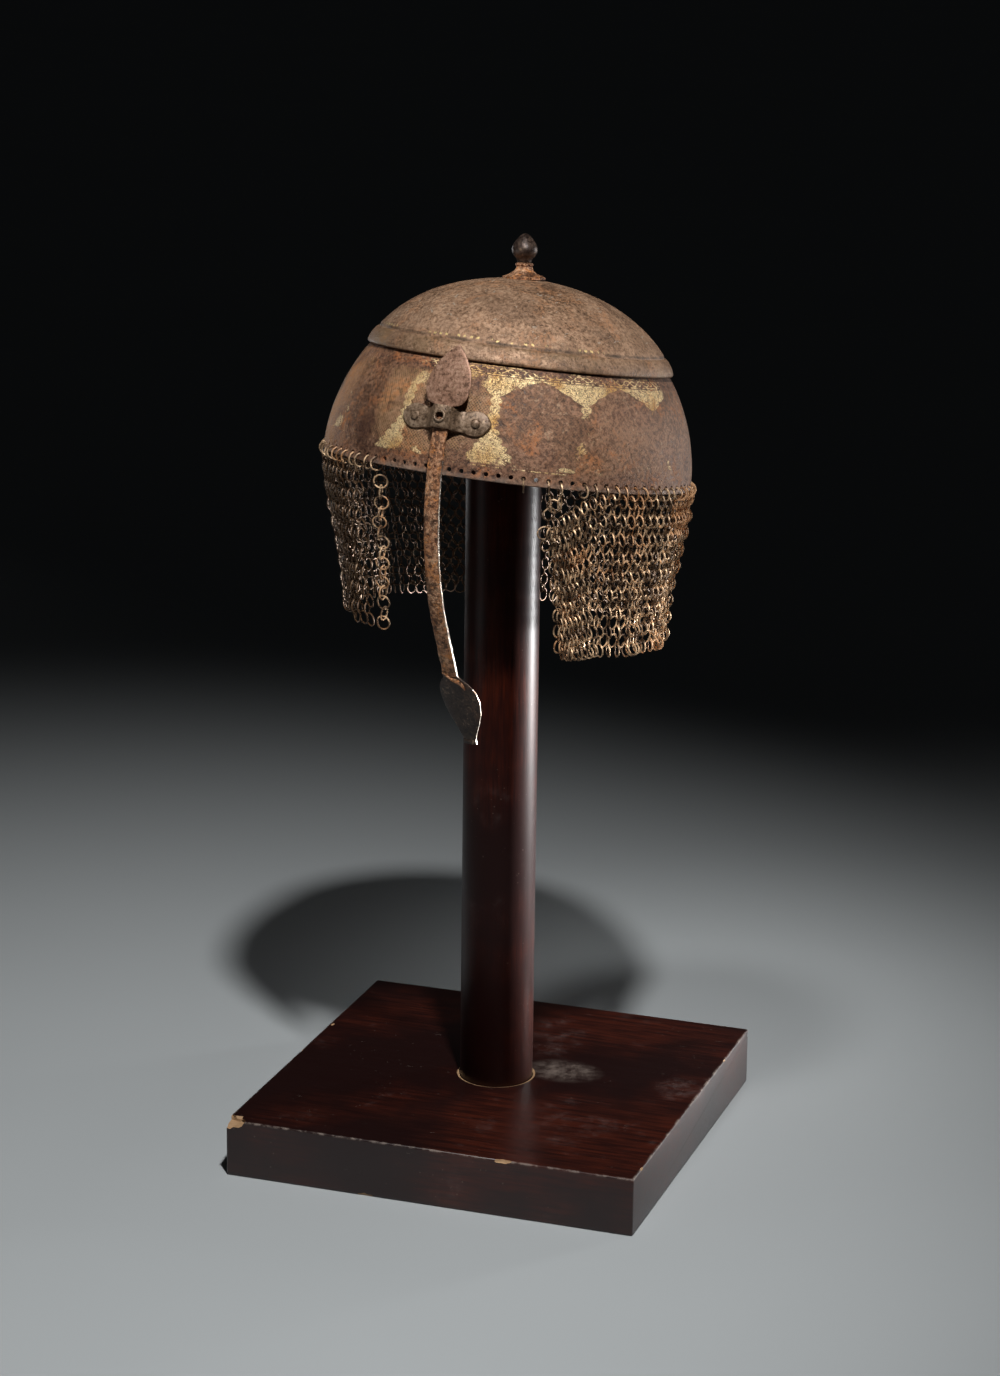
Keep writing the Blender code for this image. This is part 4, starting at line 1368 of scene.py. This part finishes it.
class KHUD_OT_bracket(bpy.types.Operator):
    """Forge the bracket, drill its screw hole and set its two rivets"""

    bl_idname = "khud.bracket"
    bl_label = "Bracket"

    def execute(self, context):
        helmet, nasal = context.scene.khud_helmet, context.scene.khud_nasal
        turn = abs(nasal.twist)
        half = (nasal.width * cos(turn) + nasal.thickness * sin(turn)) / 2 + nasal.slot_play
        deep = (nasal.thickness * cos(turn) + nasal.width * sin(turn)) / 2 + nasal.slot_play
        slot_front = nasal.stand_off + deep
        iron = smooth_iron("bracket_iron")
        lean = tan(bracket_slope(helmet, nasal) - bar_angle(nasal)) / slot_front
        rows = self.rows(nasal, half, slot_front)
        both = [(-across, *rest) for across, *rest in reversed(rows)] + rows
        bm = drawn([self.section(helmet, nasal, lean, row) for row in both])
        bmesh.ops.remove_doubles(bm, verts=bm.verts, dist=1e-6)
        bmesh.ops.recalc_face_normals(bm, faces=bm.faces)
        for vert in bm.verts:
            away = vert.co.normalized()
            vert.co += away * abs(noise.noise(vert.co * 300)) * 0.0002
        screw = bmesh.new()
        inward = bowl_surface(helmet, nasal, 0, 0, nasal.stand_off)
        outward = bowl_surface(helmet, nasal, 0, 0, slot_front + 3 * nasal.staple_wall)
        rod(screw, nasal.screw_hole / 2, inward, outward, sides=28)
        blank = piece(bm, "bracket", [iron], sharp=32)
        bracket = cut(blank, piece(screw, "drill", [iron]), sharp=32)
        bracket.data.transform(helmet_place(helmet))
        settle(bracket, HELMET_BODY, ["nasal_bracket"])
        self.lip(helmet, nasal, slot_front + nasal.staple_wall, iron)
        self.rivet(helmet, nasal, -1, "rivet_right", iron, flat=0.55)
        self.rivet(helmet, nasal, 1, "rivet_left", iron, flat=1.0)
        return {"FINISHED"}

    def rows(self, nasal, slot, slot_front):
        """Half of the bracket: distance across, height, and stand-off of its back and front."""
        front = slot_front + nasal.staple_wall
        flat = nasal.staple_front / 2

        def cove(across):
            share = min(1, max(0, (across - flat) / nasal.staple_flare))
            return nasal.ear_thickness + (front - nasal.ear_thickness) * (1 - share) ** 2

        tall = nasal.staple_height
        corner = slot - 2 * nasal.chamfer
        rows = [
            (0.0004, tall, slot_front, front),
            (corner * 0.5, tall, slot_front, front),
            (corner, tall, slot_front, front - 0.0002),
            (slot, tall, slot_front - nasal.chamfer, cove(slot)),
            (slot + 1e-5, tall, nasal.fit, cove(slot)),
        ]
        for share in (0.2, 0.32, 0.44, 0.55, 0.67, 0.78, 0.9):
            across = flat + share * nasal.staple_flare
            height = tall + (EAR[0][1] * nasal.ear_height - tall) * ease(share)
            rows.append((across, height, nasal.fit, cove(across)))
        for share in spread(0, 1, 22):
            height = along_table(EAR, share)[0] * nasal.ear_height
            across = flat + nasal.staple_flare + share * nasal.ear_length
            rows.append((across, height, nasal.fit, nasal.ear_thickness))
        return rows

    def section(self, helmet, nasal, lean, row):
        """A ring of points round the strap, with its outer corners rounded."""
        across, height, back, front = row
        low, high = -height / 2, height / 2
        soft = min(0.0009, height / 5)
        corners = [
            (low, back),
            (0, back),
            (high, back),
            (high, front - soft),
            (high - soft * 0.3, front - soft * 0.3),
            (high - soft, front),
            (0, front),
            (low + soft, front),
            (low + soft * 0.3, front - soft * 0.3),
            (low, front - soft),
        ]
        return [
            bowl_surface(helmet, nasal, across, up, off * (1 + up * lean)) for up, off in corners
        ]

    def outward(self, helmet, nasal, across, off):
        """A frame on the bracket's outside, with its Z away from the bowl."""
        spot = bowl_surface(helmet, nasal, across, 0, off)
        away = spot - Vector((0, 0, helmet.bowl_middle))
        turn = away.to_track_quat("Z", "Y").to_matrix().to_4x4()
        return helmet_place(helmet) @ Matrix.Translation(spot) @ turn

    def lip(self, helmet, nasal, off, iron):
        """The raised rim round the screw hole."""
        radius = nasal.screw_hole / 2
        thick = 0.0007
        profile = [
            (radius + thick * (1 + cos(a)), thick * sin(a)) for a in spread(-pi / 2, 3 * pi / 2, 11)
        ]
        profile[-1] = profile[0]
        bm = turned(profile, steps=40)
        place = self.outward(helmet, nasal, 0, off)
        settle(piece(bm, "screw_rim", [iron], place), HELMET_BODY)

    def rivet(self, helmet, nasal, side, name, iron, flat):
        """One rivet: a dome where flat is 1, and a head hammered flatter where it is less."""
        radius, height = nasal.rivet_diameter / 2, nasal.rivet_head * flat
        blunt = 0.6 if flat < 1 else 1
        head = [(0, -nasal.fit)]
        head += [
            (radius * cos(a), height * sin(a) ** blunt) for a in spread(0, pi / 2, 12)
        ]
        head[-1] = (0, height)
        bm = turned(head, steps=36)
        for vert in bm.verts:
            vert.co.z += noise.noise(vert.co * 700 + Vector((side, 0, 0))) * 0.0002
        place = self.outward(
            helmet, nasal, side * nasal.rivet_spacing / 2, nasal.ear_thickness + nasal.fit
        )
        settle(piece(bm, name + "_head", [iron], place), HELMET_BODY, [name])


class KHUD_OT_mail(bpy.types.Operator):
    """Link the rings of the mail and hang them from the holes in the rim"""

    bl_idname = "khud.mail"
    bl_label = "Mail"

    # Holes whose ring is lost, and one past the left free edge that has one, by number
    empty_holes = (11, 27, 46, 63, 78)
    lone_hole = 7
    # Drop of the first row below the rim
    first_drop = 0.0048
    # By the left free edge: bunched columns, columns over which they ease off, and their pitch
    bunched, eased, tight = 4, 6, 0.0030
    # The way that rings beside the face turn their edges, and where round the head that ends
    edge_bearing, fold_end, fold_run = 0.39, 1.65, 0.6
    # The chain down the right free edge: rings, bearing past the edge, first drop, sway, link as
    # a share of the mail's length, growth of a ring, and its two turns in degrees
    chain = (15, 0.012, 0.0100, 0.010, 0.0603, 1.04, (34, 126))
    # Loose rings by the left free edge: bearing past it, drop, turn in degrees, and disorder
    loose = (
        (0.002, 0.014, 20, 0.3),
        (0.012, 0.008, 80, 0.3),
        (0.030, 0.010, -35, 0.3),
        (0.050, 0.008, 50, 0.3),
        (-0.03, 0.026, 8, 0.2),
        (-0.03, 0.034, 8, 0.2),
    )

    def execute(self, context):
        self.helmet, self.mail = context.scene.khud_helmet, context.scene.khud_mail
        self.place = helmet_place(self.helmet)
        self.count = hole_count(self.helmet)
        self.chance = random.Random(11)
        # Two copies of one wire: the weave carries nearly all the painted shade, and the hung and
        # edge rings carry a tenth of it
        wire = mail_wire("mail_wire", painted_shade=0.9)
        rubbed = mail_wire("less_shaded_wire", painted_shade=0.1)
        hung = self.rings([self.hung(k) for k in self.holes()])
        woven = self.rings(self.woven())
        edges = self.rings(self.edges())
        for rings, name, finish, replaced in (
            (hung, "hung_rings", rubbed, []),
            (woven, "mail_rings", wire, ["mail_curtain"]),
            (edges, "edge_rings", rubbed, []),
        ):
            settle(piece(rings, name, [finish], sharp=60), HELMET_BODY, replaced)
        return {"FINISHED"}

    def edge_holes(self):
        """Numbers of the first and the last hole of the curtain, counted round from the face."""
        first = round(self.mail.open_left / (2 * pi) * self.count)
        return first, self.count - round(self.mail.open_right / (2 * pi) * self.count)

    def holes(self):
        """The holes that carry a ring."""
        first, last = self.edge_holes()
        kept = [k for k in range(first, last + 1) if k not in self.empty_holes]
        return kept + [self.lone_hole]

    def ring(self):
        """One ring of wire, nearly closed, lying flat round Z."""
        mail = self.mail
        bm = bmesh.new()
        radius = (mail.ring - mail.wire) / 2
        upright = Matrix.Translation((radius, 0, 0)) @ Matrix.Rotation(pi / 2, 4, "X")
        made = bmesh.ops.create_circle(
            bm, cap_ends=True, segments=mail.sides, radius=mail.wire / 2, matrix=upright
        )
        start = bm.faces[:]
        geom = bmesh.ops.duplicate(bm, geom=start + bm.edges[:] + made["verts"])["geom"]
        bmesh.ops.spin(
            bm,
            geom=[g for g in geom if not isinstance(g, bmesh.types.BMVert)],
            axis=(0, 0, 1),
            cent=(0, 0, 0),
            angle=radians(350),
            steps=mail.steps,
        )
        bmesh.ops.remove_doubles(bm, verts=bm.verts, dist=1e-7)
        bmesh.ops.recalc_face_normals(bm, faces=bm.faces)
        mesh = bpy.data.meshes.new("ring")
        bm.to_mesh(mesh)
        bm.free()
        return mesh

    def rings(self, places):
        """One mesh of a ring at every place."""
        pattern = self.ring()
        bm = bmesh.new()
        for place in places:
            copy = pattern.copy()
            copy.transform(place @ Matrix.Rotation(self.chance.uniform(0, 2 * pi), 4, "Z"))
            bm.from_mesh(copy)
            bpy.data.meshes.remove(copy)
        return bm

    def length_at(self, bearing):
        """Length of the mail at a bearing, from the face's to the back's."""
        mail = self.mail
        back = (1 - cos(bearing)) / 2
        return mail.front_length + (mail.back_length - mail.front_length) * back**1.2

    def fall(self, bearing, drop):
        """Point on the hanging mail by bearing and by drop from the rim."""
        mail, helmet = self.mail, self.helmet
        share = min(1, max(0, drop / self.length_at(bearing)))
        radius_share, span_share = along_table(MAIL_FALL, share)
        middle = pi + (mail.open_left - mail.open_right) / 2
        span = 2 * pi - mail.open_left - mail.open_right
        round_share = (bearing - mail.open_left) / span
        top_radius = helmet.bowl_radius - helmet.bowl_wall / 2
        top = self.place @ Vector((top_radius * sin(bearing), -top_radius * cos(bearing), 0))
        swung = middle + (bearing - middle) * span_share
        wave = sin(mail.ripples * 2 * pi * round_share)
        out = top_radius * radius_share * (1 + mail.ripple / helmet.bowl_radius * share * wave)
        spot = self.place @ Vector((out * sin(swung), -out * cos(swung), 0))
        return Vector((spot.x, spot.y, top.z - drop))

    def stance(self, bearing, drop):
        """A frame on the mail: X along the rows, Y up, and Z outward."""
        spot = self.fall(bearing, drop)
        aside, rise = 0.01, 0.0025
        along = (self.fall(bearing + aside, drop) - spot).normalized()
        up = self.fall(bearing, drop - rise) - self.fall(bearing, drop + rise)
        up.normalize()
        outward = along.cross(up).normalized()
        along = up.cross(outward)
        turn = Matrix((along, up, outward)).transposed().to_4x4()
        return Matrix.Translation(spot) @ turn

    def jitter(self, amount):
        """A small random turn and shift."""
        shift = [self.chance.uniform(-1, 1) * amount * 0.004 for _ in range(3)]
        turn = Matrix.Identity(4)
        for axis in "XYZ":
            turn = turn @ Matrix.Rotation(self.chance.uniform(-1, 1) * amount, 4, axis)
        return Matrix.Translation(shift) @ turn

    def hung(self, k):
        """A ring through a hole, standing edge-on over the rim."""
        helmet, mail = self.helmet, self.mail
        bearing = 2 * pi * k / self.count
        radius = helmet.bowl_radius - helmet.bowl_wall / 2
        hole = Vector((radius * sin(bearing), -radius * cos(bearing), helmet.hole_rise))
        reach = (mail.ring - mail.wire) / 2
        spot = self.place @ hole - Vector((0, 0, reach))
        away = Vector((sin(bearing), -cos(bearing), 0))
        turn = (self.place.to_3x3() @ away).to_track_quat("Z", "Y").to_matrix().to_4x4()
        swing = Matrix.Rotation(radians(self.chance.uniform(-24, 24)), 4, "Y")
        lean = Matrix.Rotation(pi / 2, 4, "Y")
        return Matrix.Translation(spot) @ turn @ swing @ lean

    def columns(self):
        """Bearing of each column of rings, with those by the left free edge bunched up."""
        pitch = self.helmet.hole_pitch
        first, last = self.edge_holes()
        bearings, at = [], first * pitch
        while at < (last - 1) * pitch:
            bearings.append(at / self.helmet.bowl_radius)
            loosened = ease((len(bearings) - self.bunched) / self.eased)
            at += self.tight + (pitch - self.tight) * loosened
        return bearings

    def woven(self):
        """Places of the rings of the weave. Each row leans the other way, half a step on."""
        mail, top = self.mail, self.first_drop
        bearings = self.columns()
        places = []
        for row in range(mail.rows):
            half = row % 2 == 0
            share = row / (mail.rows - 1)
            for near, far in zip(bearings, bearings[1:]):
                bearing = (near + far) / 2 if half else near
                drop = top + (self.length_at(bearing) - top - mail.ring / 2) * share
                drop += self.sag(bearing, share)
                turn = Matrix.Rotation(self.lean(bearing, half), 4, "Y")
                places.append(self.stance(bearing, drop) @ turn @ self.jitter(0.08))
        return places

    def lean(self, bearing, half):
        """How far a ring leans: to both sides at the back, and folded together beside the face."""
        side = 1 if half else -1
        from_face = bearing if bearing < pi else bearing - 2 * pi
        toward_face = pi / 2 if from_face > 0 else -pi / 2
        folded = 1 - ease((abs(from_face) - self.fold_end) / self.fold_run)
        behind = max(-0.5, min(0.5, self.edge_bearing + pi - bearing))
        middle = (self.edge_bearing - from_face + toward_face) * folded + behind * (1 - folded)
        return middle + side * self.mail.lean * (1 - 0.3 * folded)

    def sag(self, bearing, share):
        """How far the rows droop towards the left free edge, most in the upper rows."""
        away = (bearing - self.mail.open_left) * self.helmet.bowl_radius
        upper = 0.015 * (1 - share) ** 0.8 * (1 - ease(away / 0.034))
        return upper + 0.002 * (1 - ease(away / 0.03))

    def edges(self):
        """The single rings down the right free edge, and loose ones by the left one."""
        mail = self.mail
        places = []
        count, past, start, sway, link, growth, turns = self.chain
        right = 2 * pi - mail.open_right + past
        for i in range(count):
            spot = self.stance(right + sway * sin(i * 1.1), start + mail.front_length * link * i)
            turn = Matrix.Rotation(radians(turns[i % 2]), 4, "Y")
            places.append(spot @ turn @ self.jitter(0.08) @ Matrix.Scale(growth, 4))
        for past, drop, degrees, disorder in self.loose:
            spot = self.stance(mail.open_left + past, drop)
            turn = Matrix.Rotation(radians(degrees), 4, "Y")
            places.append(spot @ turn @ self.jitter(disorder))
        return places


OPERATORS = (
    KHUD_OT_stage,
    KHUD_OT_base,
    KHUD_OT_post,
    KHUD_OT_bowl,
    KHUD_OT_crown,
    KHUD_OT_finial,
    KHUD_OT_nasal,
    KHUD_OT_bracket,
    KHUD_OT_mail,
)


class KHUD_PT_panel(bpy.types.Panel):
    """Lists the pieces, in the order in which they are made"""

    bl_idname = "KHUD_PT_panel"
    bl_label = "Kulah Khud"
    bl_space_type = "VIEW_3D"
    bl_region_type = "UI"
    bl_category = "Kulah Khud"

    def draw(self, context):
        for operator in OPERATORS:
            self.layout.operator(operator.bl_idname)
        for key in GROUPS:
            group = getattr(context.scene, key)
            box = self.layout.box()
            for name in group.__annotations__:
                box.prop(group, name)


GROUPS = {
    "khud_stand": StandSizes,
    "khud_helmet": HelmetSizes,
    "khud_nasal": NasalSizes,
    "khud_mail": MailSizes,
}


def register():
    for made in (*GROUPS.values(), *OPERATORS, KHUD_PT_panel):
        bpy.utils.register_class(made)
    for name, group in GROUPS.items():
        setattr(bpy.types.Scene, name, PointerProperty(type=group))


def unregister():
    for name in GROUPS:
        delattr(bpy.types.Scene, name)
    for made in (KHUD_PT_panel, *reversed(OPERATORS), *GROUPS.values()):
        bpy.utils.unregister_class(made)


def main():
    register()
    for operator in OPERATORS:
        family, name = operator.bl_idname.split(".")
        getattr(getattr(bpy.ops, family), name)()


if __name__ == "__main__":
    main()
